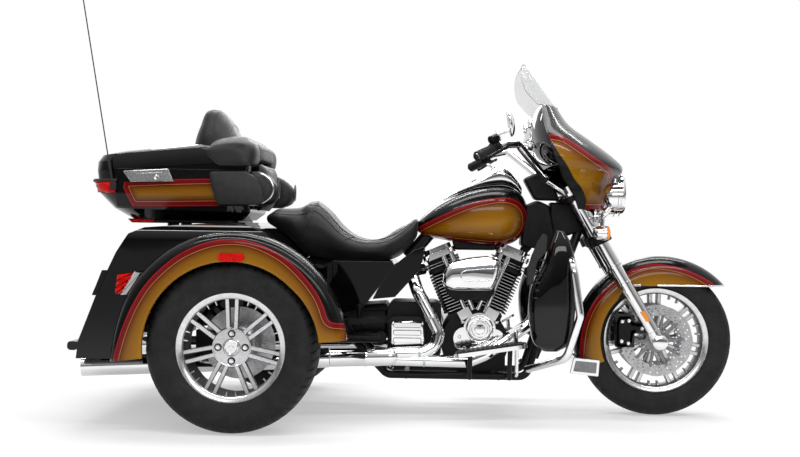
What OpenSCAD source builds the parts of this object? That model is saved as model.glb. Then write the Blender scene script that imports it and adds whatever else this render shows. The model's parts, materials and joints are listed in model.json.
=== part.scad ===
// Touring trike with one steered front wheel and two rear wheels, full size, in millimetres.
// X points forward, Y to the left, Z up; the ground is Z = 0.

/* [Wheels] */
// Distance from the rear axle to the front axle
wheelbase = 1685; // [1600:5:1760]
// Distance between the middles of the rear wheels
rear_track = 1134; // [1090:2:1170]
// Front tyre outer diameter
front_tyre_d = 640; // [620:2:660]
// Front tyre width
front_tyre_w = 130; // [115:1:140]
// Front rim diameter over the flange
front_rim_d = 440; // [420:2:460]
// Rear tyre outer diameter
rear_tyre_d = 650; // [630:2:670]
// Rear tyre width
rear_tyre_w = 205; // [190:1:215]
// Rear rim diameter over the flange
rear_rim_d = 415; // [395:1:435]
// Pairs of spokes in each wheel
spoke_pairs = 7; // [5:1:9]
// Width of one spoke
spoke_w = 15; // [10:1:20]
// Distance between the two spokes of a pair, middle to middle
spoke_gap = 38; // [28:1:48]
// Diameter of the front axle and the rear stub axles
axle_d = 28; // [22:1:34]
// Radial clearance of every shaft in its bore
run_clear = 0.05; // [0.02:0.01:0.1]

/* [Steering] */
// Steering head angle from the vertical
rake = 26; // [22:0.5:30]
// Head axis at the ground, ahead of the front tyre contact
trail = 100; // [80:1:130]
// Fork leg angle from the vertical
fork_angle = 31; // [27:0.5:34]
// Distance between the two fork legs
fork_spacing = 250; // [236:2:264]
// Lower fork leg diameter
leg_d = 54; // [48:1:60]
// Upper leg cover diameter
cover_d = 62; // [58:1:66]
// Steering stem diameter
stem_d = 32; // [26:1:38]
// Height of the lower clamp
low_clamp_z = 738; // [725:1:750]
// Height of the upper clamp
high_clamp_z = 925; // [910:1:940]

/* [Front end] */
// Fender crown radius, middle line
fender_r = 363; // [357:1:372]
// Fender width
fender_w = 168; // [160:1:176]
// Fender sheet thickness
fender_t = 3; // [2:0.5:4]
// Fairing sheet thickness
fairing_t = 6; // [4:0.5:8]
// Windshield thickness
shield_t = 5; // [3:0.5:6]
// Headlamp diameter
headlamp_d = 190; // [170:2:200]
// Passing lamp diameter
passing_d = 114; // [104:2:120]
// Passing lamp distance from the middle
passing_y = 235; // [225:1:245]
// Handlebar tube diameter
bar_d = 32; // [25:1:34]

/* [Engine] */
// Crank height
crank_z = 300; // [290:1:310]
// Crank distance ahead of the rear axle
crank_x = 925; // [905:1:945]
// Angle of each cylinder from the vertical
vee = 22.5; // [20:0.5:25]
// Cylinder core diameter
core_d = 124; // [110:1:130]
// Cooling fins on each cylinder
fin_count = 13; // [9:1:15]
// Cooling fin thickness
fin_t = 4; // [3:0.5:5]
// Crankcase half width
case_y = 95; // [85:1:105]

/* [Rear body] */
// Half width of the trunk body
body_y = 590; // [570:1:600]
// Half width of the trunk space
trunk_y = 415; // [390:1:418]
// Trunk floor height
floor_z = 400; // [394:1:410]
// Sheet and wall thickness of the body
wall = 6; // [4:0.5:8]
// Outer radius of the rear fender
arch_r = 432; // [424:1:440]
// Outer face of the rear fender, from the middle
arch_y = 695; // [690:1:705]
// Gap round the trunk door
door_gap = 5; // [5:0.5:8]
// Half width of the trunk door
door_y = 330; // [300:1:345]
// Hinge pin diameter
pin_d = 12; // [8:1:16]

/* [Tour trunk] */
// Half width of the tour trunk
tour_y = 300; // [285:1:305]
// Sheet thickness of the tour trunk
tour_t = 6; // [4:0.5:8]
// Gap between lid and base
lid_gap = 1.5; // [1:0.5:4]

/* [Hidden] */
$fn = 64;

front_r = front_tyre_d / 2;
rear_r = rear_tyre_d / 2;
rear_overhang = 678.5;
rear_x = -(wheelbase + front_r - rear_overhang) / 2;
front_x = rear_x + wheelbase;
side = rear_track / 2;
leg_y = fork_spacing / 2;
crown_r = fender_w / 2;

// Places are given from the rear axle for the chassis and from the front axle for the steered parts.
module at_rear() translate([rear_x, 0, 0]) children();
module at_front() translate([front_x, 0, 0]) children();
module both_sides() for (m = [0, 1]) mirror([0, m, 0]) children();
// A flat outline in the X-Z plane, thick from y0 to y1
module slab(y0, y1) translate([0, y1, 0]) rotate([90, 0, 0]) linear_extrude(y1 - y0) children();
// A shaft along Y from y0 to y1
module shaft(x, z, d, y0, y1) translate([x, y1, z]) rotate([90, 0, 0]) cylinder(d = d, h = y1 - y0);
// A revolved outline with its axis along Y: outline x is the radius, outline y the distance to the right
module ring_y(x, z) translate([x, 0, z]) rotate([90, 0, 0]) rotate_extrude() children();
module block(x, y, z) translate([x[0], y[0], z[0]]) cube([x[1] - x[0], y[1] - y[0], z[1] - z[0]]);
// Rounded rectangle outline from two corners
module plate2(a, b, r) {
  translate([a[0] + r, a[1]]) square([b[0] - a[0] - 2 * r, b[1] - a[1]]);
  translate([a[0], a[1] + r]) square([b[0] - a[0], b[1] - a[1] - 2 * r]);
  for (x = [a[0] + r, b[0] - r]) for (y = [a[1] + r, b[1] - r]) translate([x, y]) circle(r);
}

function unit(v) = v / norm(v);
function mixed(a, b, t) = a + (b - a) * t;
// Smooth curve through the rows of a table, part i, place t
function curve(rows, i, t) = let (a = rows[max(i - 1, 0)], b = rows[i], c = rows[i + 1],
  d = rows[min(i + 2, len(rows) - 1)])
  (2 * b + (c - a) * t + (2 * a - 5 * b + 4 * c - d) * t * t + (3 * b - a - 3 * c + d) * t * t * t) / 2;
function refine(rows, n) = [for (i = [0:len(rows) - 2]) for (k = [0:n - 1]) curve(rows, i, k / n),
  rows[len(rows) - 1]];
function bent(v, p) = sign(v) * pow(abs(v), p);
// Oval section across X: half width w, from lo to hi, squareness p
function oval_x(x, w, lo, hi, p, n) = [for (k = [0:n - 1]) let (a = 360 * (k + 0.5) / n)
  [x, w * bent(cos(a), 2 / p), (lo + hi) / 2 + (hi - lo) / 2 * bent(sin(a), 2 / p)]];
// Level oval section at height z between x0 and x1 and between y0 and y1
function oval_z(z, x0, x1, y0, y1, p, n) = [for (k = [0:n - 1]) let (a = 360 * (k + 0.5) / n)
  [(x0 + x1) / 2 + (x1 - x0) / 2 * bent(cos(a), 2 / p),
   (y0 + y1) / 2 + (y1 - y0) / 2 * bent(sin(a), 2 / p), z]];

// Closed skin through sections of equal point count, each turning left about the way they go
module loft(rings) {
  n = len(rings[0]);
  m = len(rings);
  polyhedron(points = [for (r = rings) each r],
    faces = [[for (k = [0:n - 1]) k], [for (k = [n - 1:-1:0]) (m - 1) * n + k],
      for (i = [0:m - 2]) for (k = [0:n - 1]) let (a = i * n + k, b = i * n + (k + 1) % n)
        each [[a, a + n, b + n], [a, b + n, b]]]);
}

// Thick curved sheet from a grid of points, t thick towards its back
module sheet(g, t) {
  m = len(g);
  n = len(g[0]);
  nrm = [for (i = [0:m - 1]) [for (k = [0:n - 1])
    unit(cross(g[min(i + 1, m - 1)][k] - g[max(i - 1, 0)][k], g[i][min(k + 1, n - 1)] - g[i][max(k - 1, 0)]))]];
  s = m * n;
  rim = concat([for (k = [0:n - 1]) k], [for (i = [1:m - 1]) i * n + n - 1],
    [for (k = [n - 2:-1:0]) (m - 1) * n + k], [for (i = [m - 2:-1:1]) i * n]);
  polyhedron(points = [for (i = [0:m - 1]) each g[i],
      for (i = [0:m - 1]) for (k = [0:n - 1]) g[i][k] + t * nrm[i][k]],
    faces = [for (i = [0:m - 2]) for (k = [0:n - 2]) let (a = i * n + k)
        each [[a, a + n, a + n + 1], [a, a + n + 1, a + 1],
          [s + a, s + a + n + 1, s + a + n], [s + a, s + a + 1, s + a + n + 1]],
      for (j = [0:len(rim) - 1]) let (a = rim[j], b = rim[(j + 1) % len(rim)])
        each [[a, b, s + b], [a, s + b, s + a]]]);
}

// Round rod between two points
module rod(a, b, d) {
  v = b - a;
  translate(a) rotate([0, acos(v[2] / norm(v)), atan2(v[1], v[0])]) cylinder(d = d, h = norm(v));
}

// Path with its inner corners rounded by arcs of radius r, s steps each
function rounded(p, r, s) = [p[0], for (i = [1:len(p) - 2]) let (a = unit(p[i] - p[i - 1]),
    b = unit(p[i + 1] - p[i]), turn = acos(min(1, a * b)), cut = r * tan(turn / 2), w = unit(cross(a, b)),
    out = cross(a, w), c = p[i] - a * cut - out * r)
  for (k = [0:s]) c + r * (out * cos(turn * k / s) + a * sin(turn * k / s)), p[len(p) - 1]];
// Two directions across the path at each of its points, carried along without twist
function across(q, i, u) = let (t = unit(q[min(i + 1, len(q) - 1)] - q[max(i - 1, 0)]),
  v = unit(u - (u * t) * t))
  i == len(q) - 1 ? [[v, cross(t, v)]] : concat([[v, cross(t, v)]], across(q, i + 1, v));
// Round tube of diameter d through points with bends of radius r at the inner points
module tube(p, d, r) {
  q = rounded(p, r, 5);
  f = across(q, 0, abs(unit(q[1] - q[0])[2]) < 0.8 ? [0, 0, 1] : [1, 0, 0]);
  loft([for (i = [0:len(q) - 1]) [for (k = [0:13]) let (a = k * 360 / 14)
    q[i] + d / 2 * (cos(a) * f[i][0] + sin(a) * f[i][1])]]);
}

// Steering head: x of its axis at height z, from the front axle
function head_x(z) = trail - z * tan(rake);
module head_frame(z) translate([head_x(z), 0, z]) rotate([0, -rake, 0]) children();
// Fork leg middle line: x at height z, from the front axle
function leg_x(z) = -(z - front_r) * tan(fork_angle);

// Frame

head_len = (high_clamp_z - low_clamp_z) / cos(rake) - 42;
wb = wheelbase;
rail_d = 32;
module frame() color([0.06, 0.06, 0.06]) {
  at_front() head_frame(low_clamp_z) translate([0, 0, 21]) difference() {
    cylinder(d = stem_d + 26, h = head_len);
    translate([0, 0, -1]) cylinder(d = stem_d + 2 * run_clear, h = head_len + 2);
  }
  at_rear() {
    tube([[wb + head_x(835) - 34, 0, 835], [1060, 0, 812], [740, 0, 768], [640, 0, 650]], 56, 70);
    both_sides() tube([[wb + head_x(790) - 30, 18, 790], [crank_x + 265, 100, 330], [crank_x + 215, 120, 166],
      [560, 120, 166], [430, 120, 300], [392, 120, 392], [335.4, 120, 392]], rail_d, 44);
    for (x = [crank_x + 100, 640]) rod([x, -118, 162], [x, 118, 162], rail_d - 4);
  }
}

// Engine

module case_outline() {
  translate([crank_x, crank_z]) circle(140);
  for (s = [-1, 1]) translate([crank_x, crank_z]) rotate(-s * vee) translate([-61, 0]) square([122, 150]);
  plate2([crank_x - 130, 184], [crank_x + 128, crank_z], 24);
}
module crankcase() color([0.10, 0.10, 0.10]) at_rear() slab(-case_y, case_y) case_outline();

// Cylinder frame: z runs out from the crank along a cylinder
module bank(s) at_rear() translate([crank_x, 0, crank_z]) rotate([0, s * vee, 0]) children();
fin_x = 74;
module fin(h, x, y) linear_extrude(h) plate2([-x, -y], [x, y], 30);
module cylinders() color([0.08, 0.08, 0.08]) for (s = [-1, 1]) bank(s) {
  translate([0, 0, 150.5]) cylinder(d = core_d, h = 180);
  for (i = [0:fin_count - 1]) translate([0, 0, 158 + i * 172 / fin_count]) fin(fin_t, fin_x, 92);
  translate([0, 0, 330]) fin(16, fin_x - 4, 86);
  translate([0, 0, 352]) fin(6, fin_x, 92);
  translate([0, 0, 364]) fin(6, fin_x, 92);
  translate([0, 0, 344]) fin(44, fin_x - 14, 78);
}
module rocker_covers() color([0.80, 0.80, 0.82]) for (s = [-1, 1]) bank(s) {
  translate([0, 0, 388.3]) linear_extrude(24) plate2([4 - fin_x, -130], [fin_x - 4, 88], 28);
  translate([0, 0, 412]) fin(20, fin_x - 14, 78);
}

cam_x = crank_x + 18;
cam_z = crank_z + 64;
module cam_cover() color([0.80, 0.80, 0.82]) {
  at_rear() {
    slab(-146, -case_y - 0.3) {
      translate([cam_x, cam_z]) circle(66);
      translate([cam_x - 62, cam_z - 40]) circle(46);
      translate([cam_x + 60, cam_z - 44]) circle(44);
      plate2([cam_x - 104, cam_z - 86], [cam_x + 98, cam_z - 10], 24);
    }
    shaft(cam_x, cam_z, 100, -164, -146);
    for (s = [-1, 1]) translate([cam_x - 6 + s * 46, 0, cam_z + 44]) rotate([0, s * 30, 0])
      translate([-26, -140, 0]) cube([52, 30, 40]);
  }
  for (s = [-1, 1]) for (k = [-16, 16]) bank(s) translate([k - s * 30, -118, 134]) cylinder(d = 19, h = 253.9);
}

air_x = crank_x - 26;
air_z = 632;
module air_outline(r) {
  for (s = [-44, 44]) translate([air_x + s, air_z]) circle(r);
  translate([air_x - 44, air_z - r]) square([88, 2 * r]);
}
module air_cleaner() color([0.75, 0.75, 0.77]) at_rear() {
  slab(-214, -178) air_outline(78);
  slab(-244, -214) air_outline(66);
  slab(-206, -184) plate2([air_x - 62, air_z - 132], [air_x + 80, air_z - 40], 18);
  shaft(crank_x, 600, 81, -180, -20);
}

box_x = crank_x - 141;
module gearbox() color([0.12, 0.12, 0.12]) at_rear() {
  slab(-118, case_y) plate2([box_x - 224, 236], [box_x, 470], 30);
  slab(-166, -118) plate2([box_x - 214, 292], [box_x - 70, 412], 26);
}
module primary_outline(r, q) {
  translate([crank_x, crank_z]) circle(r);
  translate([box_x - 120, crank_z + 18]) circle(q);
  polygon([[box_x - 120, crank_z + 18 - q], [crank_x, crank_z - r], [crank_x, crank_z + r],
    [box_x - 120, crank_z + 18 + q]]);
}
module primary_cover() color([0.80, 0.80, 0.82]) at_rear() {
  slab(case_y + 0.3, 176) primary_outline(114, 100);
  slab(176, 196) primary_outline(92, 76);
}

pipe_d = 46;
muffler_d = 80;
pipe_y = 217;
pipe_z = 252;
port_x = 75 * cos(vee) + 360 * sin(vee);
port_z = crank_z + 360 * cos(vee) - 75 * sin(vee);
module exhaust_headers() color([0.80, 0.80, 0.82]) at_rear() {
  tube([[crank_x - port_x - 17, -56, port_z], [crank_x - 268, -112, port_z - 8], [crank_x - 240, -188, port_z - 86],
    [crank_x - 140, -196, 372], [crank_x - 176, -206, pipe_z + 22], [588, -pipe_y, pipe_z + 12]], pipe_d, 46);
  tube([[crank_x + port_x + 17, -56, port_z], [crank_x + 254, -104, port_z - 30], [crank_x + 236, -166, 400],
    [crank_x + 40, -190, pipe_z + 10], [crank_x - 30, -200, pipe_z - 18], [588, -pipe_y, pipe_z - 12]], pipe_d, 46);
  tube([[576, -pipe_y - 6, pipe_z - 10], [576, -150, 205], [576, 150, 205], [576, pipe_y + 6, pipe_z - 10]], 28, 30);
  for (m = [0, 1]) mirror([0, m, 0])
    rod([m > 0 ? 596 : 604, -pipe_y, pipe_z], [muffler_a[0] + 1.9, -muffler_a[1], muffler_a[2]], muffler_d - 6);
}
// Muffler ends: front and rear x, distance from the middle, height
muffler_a = [330, 258, 248];
muffler_b = [-640, 386, 214];
module muffler() color([0.80, 0.80, 0.82]) at_rear() difference() {
  rod([muffler_a[0], -muffler_a[1], muffler_a[2]], [muffler_b[0], -muffler_b[1], muffler_b[2]], muffler_d);
  rod([muffler_b[0] + 90, -muffler_b[1] + 12, muffler_b[2] + 3.2], [muffler_b[0] - 9, -muffler_b[1] - 1.2,
    muffler_b[2] - 0.3], muffler_d - 8);
}
module muffler_right() muffler();
module muffler_left() mirror([0, 1, 0]) muffler();

// Tank, seat and panels

// Tank sections: x, half width, low z, high z, squareness
tank_rows = [[686, 34, 764, 812, 2.4], [716, 78, 752, 842, 2.5], [765, 114, 747, 880, 2.6],
  [830, 143, 745, 916, 2.6], [900, 160, 744, 944, 2.6], [975, 167, 744, 960, 2.6], [1040, 162, 746, 962, 2.5],
  [1090, 140, 756, 946, 2.5], [1122, 104, 778, 920, 2.4], [1140, 58, 806, 888, 2.2]];
module fuel_tank() color([0.55, 0.33, 0.02]) at_rear() difference() {
  loft([for (r = refine(tank_rows, 2)) oval_x(r[0], r[1], r[2], r[3], r[4], 32)]);
  block([600, 1200], [-27.6, 27.6], [700, 852.4]);
}
// Console sections: x, half width, low z, high z, squareness
console_rows = [[790, 20, 899, 904, 2.4], [850, 50, 926.5, 942, 2.6], [930, 62, 953, 988, 2.8],
  [1005, 66, 963.5, 1040, 3], [1050, 62, 963, 1036, 2.8], [1092, 48, 948, 996, 2.6], [1118, 26, 926, 958, 2.4]];
module tank_console() color([0.80, 0.80, 0.82]) at_rear()
  loft([for (r = refine(console_rows, 2)) oval_x(r[0], r[1], r[2], r[3], r[4], 20)]);

// Seat sections: x, half width, low z, high z, squareness
seat_rows = [[44, 118, 797, 818, 2.6], [80, 150, 780, 832, 2.8], [140, 165, 738, 838, 3], [196, 172, 678, 846, 3],
  [232, 175, 656, 880, 3], [266, 176, 648, 878, 3], [310, 178, 643, 838, 3], [360, 182, 640, 780, 3],
  [420, 185, 640, 741, 3], [482, 180, 640, 728, 3], [545, 160, 644, 742, 3], [600, 125, 664, 780, 3],
  [640, 96, 700, 812, 3], [664, 80, 735, 833, 2.8], [676, 66, 752, 826, 2.6]];
module seat() color([0.07, 0.07, 0.07]) at_rear()
  loft([for (r = refine(seat_rows, 2)) oval_x(r[0], r[1], r[2], r[3], r[4], 28)]);
module seat_panel() color([0.05, 0.05, 0.05]) at_rear() {
  slab(-200, 200) polygon([[335.4, 639.6], [580, 639.6], [592, 622], [455, 440], [335.4, 412]]);
  both_sides() slab(-197, -187) polygon([[713, 701], [672, 690], [560, 600], [500, 484], [593, 494], [694, 606]]);
}

// Lower fairing sections: z, rear x, front x, outer y, inner y
lower_rows = [[294, 1190, 1258, 306, 232], [330, 1152, 1300, 335, 220], [430, 1134, 1316, 348, 216],
  [540, 1140, 1318, 350, 216], [640, 1186, 1316, 346, 220], [720, 1210, 1300, 336, 226], [776, 1234, 1268, 312, 246]];
// Guard tube route on the right side, through a channel in the lower
guard_line = [[wb - 366, -38, 645], [wb - 400, -200, 655], [wb - 390, -362, 668], [wb - 356, -366, 440],
  [wb - 405, -334, 268], [wb - 545, -128, 196]];
guard_d = 32;
module lower_fairing() color([0.06, 0.06, 0.06]) at_rear() difference() {
  loft([for (r = refine(lower_rows, 2)) oval_z(r[0], r[1] + wb - 1685, r[2] + wb - 1685, -r[3], -r[4], 3, 20)]);
  tube(guard_line, guard_d + 0.5, 60);
}
module lower_fairing_right() lower_fairing();
module lower_fairing_left() mirror([0, 1, 0]) lower_fairing();
module engine_guard() color([0.80, 0.80, 0.82]) at_rear() both_sides() tube(guard_line, guard_d, 60);

module footboards() color([0.10, 0.10, 0.10]) at_rear() both_sides() {
  translate([840, 0, 266]) rotate([0, -9, 0]) translate([0, -362, 0])
    linear_extrude(14) plate2([0, 0], [288, 112], 40);
  for (x = [900, 1060]) {
    rod([x, -136.6, 168], [x, -262, 178], 20);
    rod([x, -262, 174], [x, -306, x < 1000 ? 274 : 300], 20);
  }
  translate([386, -330, 388]) rotate([0, -4, 0]) linear_extrude(20) plate2([0, 0], [190, 96], 30);
  rod([450, -246, 396], [450, -246, 462], 20);
  rod([450, -252, 456], [450, -200.4, 456], 20);
}
module foot_controls() color([0.70, 0.70, 0.72]) at_rear() both_sides() {
  tube([[1092, -136, 170], [1092, -226, 186], [1090, -238, 300], [1084, -250, 372]], 16, 20);
  translate([1084, -262, 372]) rotate([0, -30, 0]) linear_extrude(10) plate2([-34, -22], [34, 26], 12);
}

// Rear body

axle_z = rear_r;
// Side line of the trunk body, from the lower rear corner round to the lower front corner
body_side = [[-600, 270], [-592, 337], [-519, 528], [-451, 674], [-405, 746], [-348, 770], [-138, 786], [15, 792],
  [112, 756], [215, 650], [335, 637], [335, 372], [300, 372], [300, 270]];
module body_solid() intersection() {
  slab(-body_y, body_y) polygon(body_side);
  translate([-700, 0, 0]) rotate([90, 0, 90]) linear_extrude(1100) plate2([-body_y, 200], [body_y, 792], 70);
}
well_r = arch_r - 30;
well_y = trunk_y + wall;
module trike_body() color([0.05, 0.05, 0.05]) at_rear() {
  difference() {
    body_solid();
    both_sides() shaft(0, axle_z, 2 * well_r, -body_y - 10, -well_y);
    both_sides() block([0, 400], [-body_y - 10, -well_y], [200, axle_z + 300]);
    slab(-trunk_y, trunk_y) polygon([[-700, floor_z], [-700, 700], [-432, 700], [-392, 746], [-345, 760],
      [-138, 776], [10, 782], [60, 764], [60, floor_z]]);
    block([-565, 340], [-well_y, well_y], [150, floor_z - wall]);
    slab(-well_y + wall, well_y - wall) polygon([[66, 300], [66, 756], [112, 742], [212, 641], [329, 629], [329, 300]]);
    block([320, 340], [-well_y, well_y], [200, 372]);
  }
  difference() {
    intersection() {
      body_solid();
      block([-700, -380], [-trunk_y, trunk_y], [floor_z - 10, 760]);
    }
    translate([24, 0, 0]) slab(-trunk_y, trunk_y) polygon(body_side);
    block([-700, -300], [-door_y - door_gap, door_y + door_gap], [300, 700 + door_gap]);
  }
  both_sides() {
    shaft(hinge_at[0], hinge_at[1], pin_d, -250, -210);
    block([hinge_at[0] - 8, hinge_at[0] + 18], [-222, -210], [hinge_at[1] - 14, hinge_at[1] + 6]);
  }
}
// Trunk door hinge axis: x, z
hinge_at = [-584, floor_z - 4];
hinge_d = 22;
module trunk_door() color([0.05, 0.05, 0.05]) at_rear() {
  difference() {
    intersection() {
      body_solid();
      block([-700, -380], [-door_y, door_y], [floor_z + door_gap, 700 - door_gap]);
    }
    translate([18, 0, 0]) slab(-body_y, body_y) polygon(body_side);
  }
  both_sides() difference() {
    union() {
      shaft(hinge_at[0], hinge_at[1], hinge_d, -248, -226);
      block([hinge_at[0] - 11, hinge_at[0] + 10], [-248, -226], [hinge_at[1], floor_z + 26]);
      block([hinge_at[0] - 11, hinge_at[0] + 30], [-248, -226], [floor_z + 12, floor_z + 26]);
    }
    shaft(hinge_at[0], hinge_at[1], pin_d + 2 * run_clear, -260, -200);
  }
}
plate_w = 146;
plate_h = 70;
module plate_bracket() color([0.15, 0.15, 0.15]) at_rear() difference() {
  union() {
    block([-580, -574], [-100, 100], [480, 590]);
    block([-574.5, -500], [-60, 60], [500, 530]);
  }
  for (y = [-1, 1]) for (z = [-1, 1]) translate([-590, y * plate_w / 2, 535 + z * plate_h / 2])
    rotate([0, 90, 0]) cylinder(d = 7, h = 40);
  translate([-0.4, 0, 0]) slab(-body_y, body_y) polygon(body_side);
}
module arch_outline(r, y, c) {
  translate([200, body_y + 0.5]) square([r - c - 200, y - body_y - 0.5]);
  translate([200, body_y + 0.5]) square([r - 200, y - c - body_y - 0.5]);
  translate([r - c, y - c]) circle(c);
}
module rear_fender() color([0.55, 0.33, 0.02]) at_rear() difference() {
  translate([0, 0, axle_z]) rotate([90, 0, 0]) rotate([0, 0, 5]) rotate_extrude(angle = 182) difference() {
    arch_outline(arch_r, arch_y, 44);
    translate([0, -10]) arch_outline(arch_r - 6, arch_y + 4, 40);
  }
  shaft(25, axle_z - 7, 620, -arch_y - 10, -body_y - 60);
  shaft(0, axle_z, 640, -arch_y - 10, -body_y + 10);
}
module rear_fender_right() rear_fender();
module rear_fender_left() mirror([0, 1, 0]) rear_fender();
module rear_bumper() color([0.06, 0.06, 0.06]) at_rear()
  slab(-body_y + 8, body_y - 8) plate2([-636, 300], [-595.2, 334], 14);
module tail_lamps() color([0.6, 0.02, 0.02]) at_rear() both_sides() {
  intersection() {
    difference() {
      translate([-16, 0, 0]) slab(-body_y + 2, -480) polygon(body_side);
      translate([-0.4, 0, 0]) slab(-body_y, -400) polygon(body_side);
    }
    block([-600, -440], [-700, -400], [512, 602]);
  }
  slab(-arch_y - 10, -arch_y - 0.4) translate([9, 664]) plate2([-48, -16], [48, 16], 15);
  intersection() {
    difference() {
      loft([for (i = [2, 3]) tour_ring(tour_low[i], -12, 0)]);
      loft([for (i = [2, 3]) tour_ring(tour_low[i], -0.4, 0)]);
    }
    block([-680, -557], [-tour_y - 20, -tour_y + 150], [908, 952]);
  }
}

module rear_axle() color([0.15, 0.15, 0.15]) at_rear() {
  shaft(0, axle_z, 80, -416, 416);
  translate([0, 0, axle_z]) sphere(d = 130);
  shaft(534.6, axle_z, 50, -176, 176);
  both_sides() {
    shaft(0, axle_z, axle_d, -side - 60, -410);
    rod([0, -216, axle_z], [534.6, -166, axle_z], 46);
    shaft(0, axle_z, 120, -430, -412);
    difference() {
      block([-168, -92], [-470, -430], [axle_z - 48, axle_z + 48]);
      block([-146, -80], [-460, -444], [axle_z - 60, axle_z + 60]);
    }
    block([-100, -10], [-440, -420], [axle_z - 24, axle_z + 24]);
    translate([60, -270, axle_z]) cylinder(d = 60, h = floor_z - wall - axle_z - 0.4);
    translate([0, -280, axle_z - 30]) cube([80, 70, 60]);
  }
}

// Tour trunk

// Base and lid sections: rear z, front z, rear x, front x, half width less the widest
tour_low = [[801, 801, -500, -40, -70], [846, 832, -566, -8, -14], [905, 905, -622, 0, 0], [994, 1037, -636, 0, 0]];
tour_high = [[994, 1037, -636, 0, 0], [1030, 1072, -634, -2, -2], [1058, 1108, -618, -14, -14],
  [1070, 1124, -580, -44, -50]];
corner = 84;
function tour_ring(r, inset, up) = let (x0 = r[2] + inset, x1 = r[3] - inset, w = tour_y + r[4] - inset,
  c = corner - inset)
  [for (q = [0:3]) for (k = [0:6]) let (a = q * 90 + k * 15,
    x = (q == 0 || q == 3 ? x1 - c : x0 + c) + c * cos(a), y = (q < 2 ? w - c : c - w) + c * sin(a))
    [x, y, r[0] + (r[1] - r[0]) * (x - r[2]) / (r[3] - r[2]) + up]];
function turned(ring) = [for (k = [len(ring) - 1:-1:0]) ring[k]];
lid_y = 330;
lid_z = 1003;
hinge_x = [-540, -300];
module tour_base() color([0.05, 0.05, 0.05]) at_rear() {
  loft(concat([for (r = tour_low) tour_ring(r, 0, 0)],
    [for (i = [3:-1:0]) tour_ring(tour_low[i], tour_t, i == 0 ? tour_t : 0)]));
  slab(-tour_y - 11, -tour_y + 2) polygon(latch);
  for (x = [-345, -138]) both_sides() translate([x, 120, x < -200 ? 772.4 : 787.3]) cylinder(d = 50, h = 32);
  for (x = hinge_x) {
    block([x, x + 14], [tour_y - 3, lid_y + 7], [960, 984]);
    block([x, x + 14], [lid_y - 9, lid_y + 7], [960, lid_z]);
    translate([x, lid_y, lid_z]) rotate([0, 90, 0]) cylinder(d = 16, h = 14);
    translate([x + 13, lid_y, lid_z]) rotate([0, 90, 0]) cylinder(d = 8, h = 50);
  }
}
// Latch plate on the right side, under the lid seam
latch = [[-533, 991], [-359, 994], [-342, 952], [-497, 950]];
module tour_lid() color([0.05, 0.05, 0.05]) at_rear() {
  loft(concat([for (i = [3:-1:0]) turned(tour_ring(tour_high[i], 0, lid_gap))],
    [for (i = [0:3]) turned(tour_ring(tour_high[i], tour_t, i == 3 ? lid_gap - tour_t : lid_gap))]));
  for (x = hinge_x) difference() {
    union() {
      translate([x + 20, lid_y, lid_z]) rotate([0, 90, 0]) cylinder(d = 18, h = 40);
      block([x + 20, x + 60], [tour_y - 3, lid_y], [lid_z + 20, lid_z + 30]);
      block([x + 20, x + 60], [lid_y - 9, lid_y + 1], [lid_z, lid_z + 30]);
    }
    translate([x - 5, lid_y, lid_z]) rotate([0, 90, 0]) cylinder(d = 8 + 2 * run_clear, h = 80);
  }
}
// Backrest hump sections: height over the lid, rear x, front x, half width
hump_rows = [[0.4, -284, -62, 152], [45, -276, -92, 144], [95, -258, -118, 126], [138, -238, -150, 98],
  [155, -220, -178, 62]];
lid_top = tour_high[3];
lid_slope = (lid_top[1] - lid_top[0]) / (lid_top[3] - lid_top[2]);
function on_lid(ring) = [for (p = ring) [p[0], p[1], p[2] + lid_top[0] + lid_gap + (p[0] - lid_top[2]) * lid_slope]];
// Front pad and side wing sections: z, rear x, front x, half width
pad_rows = [[1050, 1, 46, 190], [1096, 1, 42, 186], [1130, -4, 30, 176], [1144, -80, -8, 150]];
wing_rows = [[1040, -172, 20, 322], [1068, -160, 18, 322], [1096, -120, -20, 318]];
module backrest() color([0.07, 0.07, 0.07]) at_rear() {
  loft([for (r = refine(hump_rows, 2)) on_lid(oval_z(r[0], r[1], r[2], -r[3], r[3], 2.8, 24))]);
  loft([for (r = refine(pad_rows, 2)) oval_z(r[0], r[1] + 0.4, r[2], -r[3], r[3], 3, 24)]);
  both_sides() loft([for (r = refine(wing_rows, 2)) oval_z(r[0], r[1], r[2], -r[3], -tour_y - 0.3, 3, 16)]);
}
module lumbar_pad() color([0.07, 0.07, 0.07]) at_rear()
  loft([for (r = refine([[838, 0.4, 30, 150], [880, 0.4, 48, 180], [960, 0.4, 56, 190], [1020, 0.4, 50, 186],
    [1040, 0.4, 36, 170]], 2)) oval_z(r[0], r[1], r[2], -r[3], r[3], 3, 24)]);
module speaker_pods() color([0.06, 0.06, 0.06]) at_rear() both_sides() {
  loft([for (r = refine([[862, -138, 46, 316], [900, -156, 61, 324], [960, -170, 50, 324], [1000, -166, 8, 320]], 2))
    oval_z(r[0], r[1], r[2], -r[3], -tour_y - 0.5, 3, 16)]);
  loft([for (r = refine([[858, 0.4, 60, 300], [880, 0.4, 106, 312], [926, 0.4, 116, 316], [972, 0.4, 90, 312],
    [998, 0.4, 46, 300]], 2)) oval_z(r[0], r[1], r[2], -r[3], -196, 3, 20)]);
}
antenna_y = tour_y + 16;
module antenna() color([0.05, 0.05, 0.05]) at_rear() {
  rod([-544, -antenna_y, 928], [-566, -antenna_y, 1047], 10);
  rod([-566, -antenna_y, 1047], [-676, -antenna_y, 1690], 5);
  block([-556, -532], [-antenna_y - 7, -tour_y - 0.4], [918, 946]);
}

// Fork and front end

module fork_stem() color([0.08, 0.08, 0.08]) at_front() {
  head_frame(low_clamp_z) {
    translate([0, 0, -10]) cylinder(d = stem_d, h = head_len + 60);
    translate([0, 0, -20]) linear_extrude(40) clamp_outline(low_clamp_z);
    translate([0, 0, head_len + 22]) linear_extrude(24) clamp_outline(high_clamp_z);
  }
}
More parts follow.
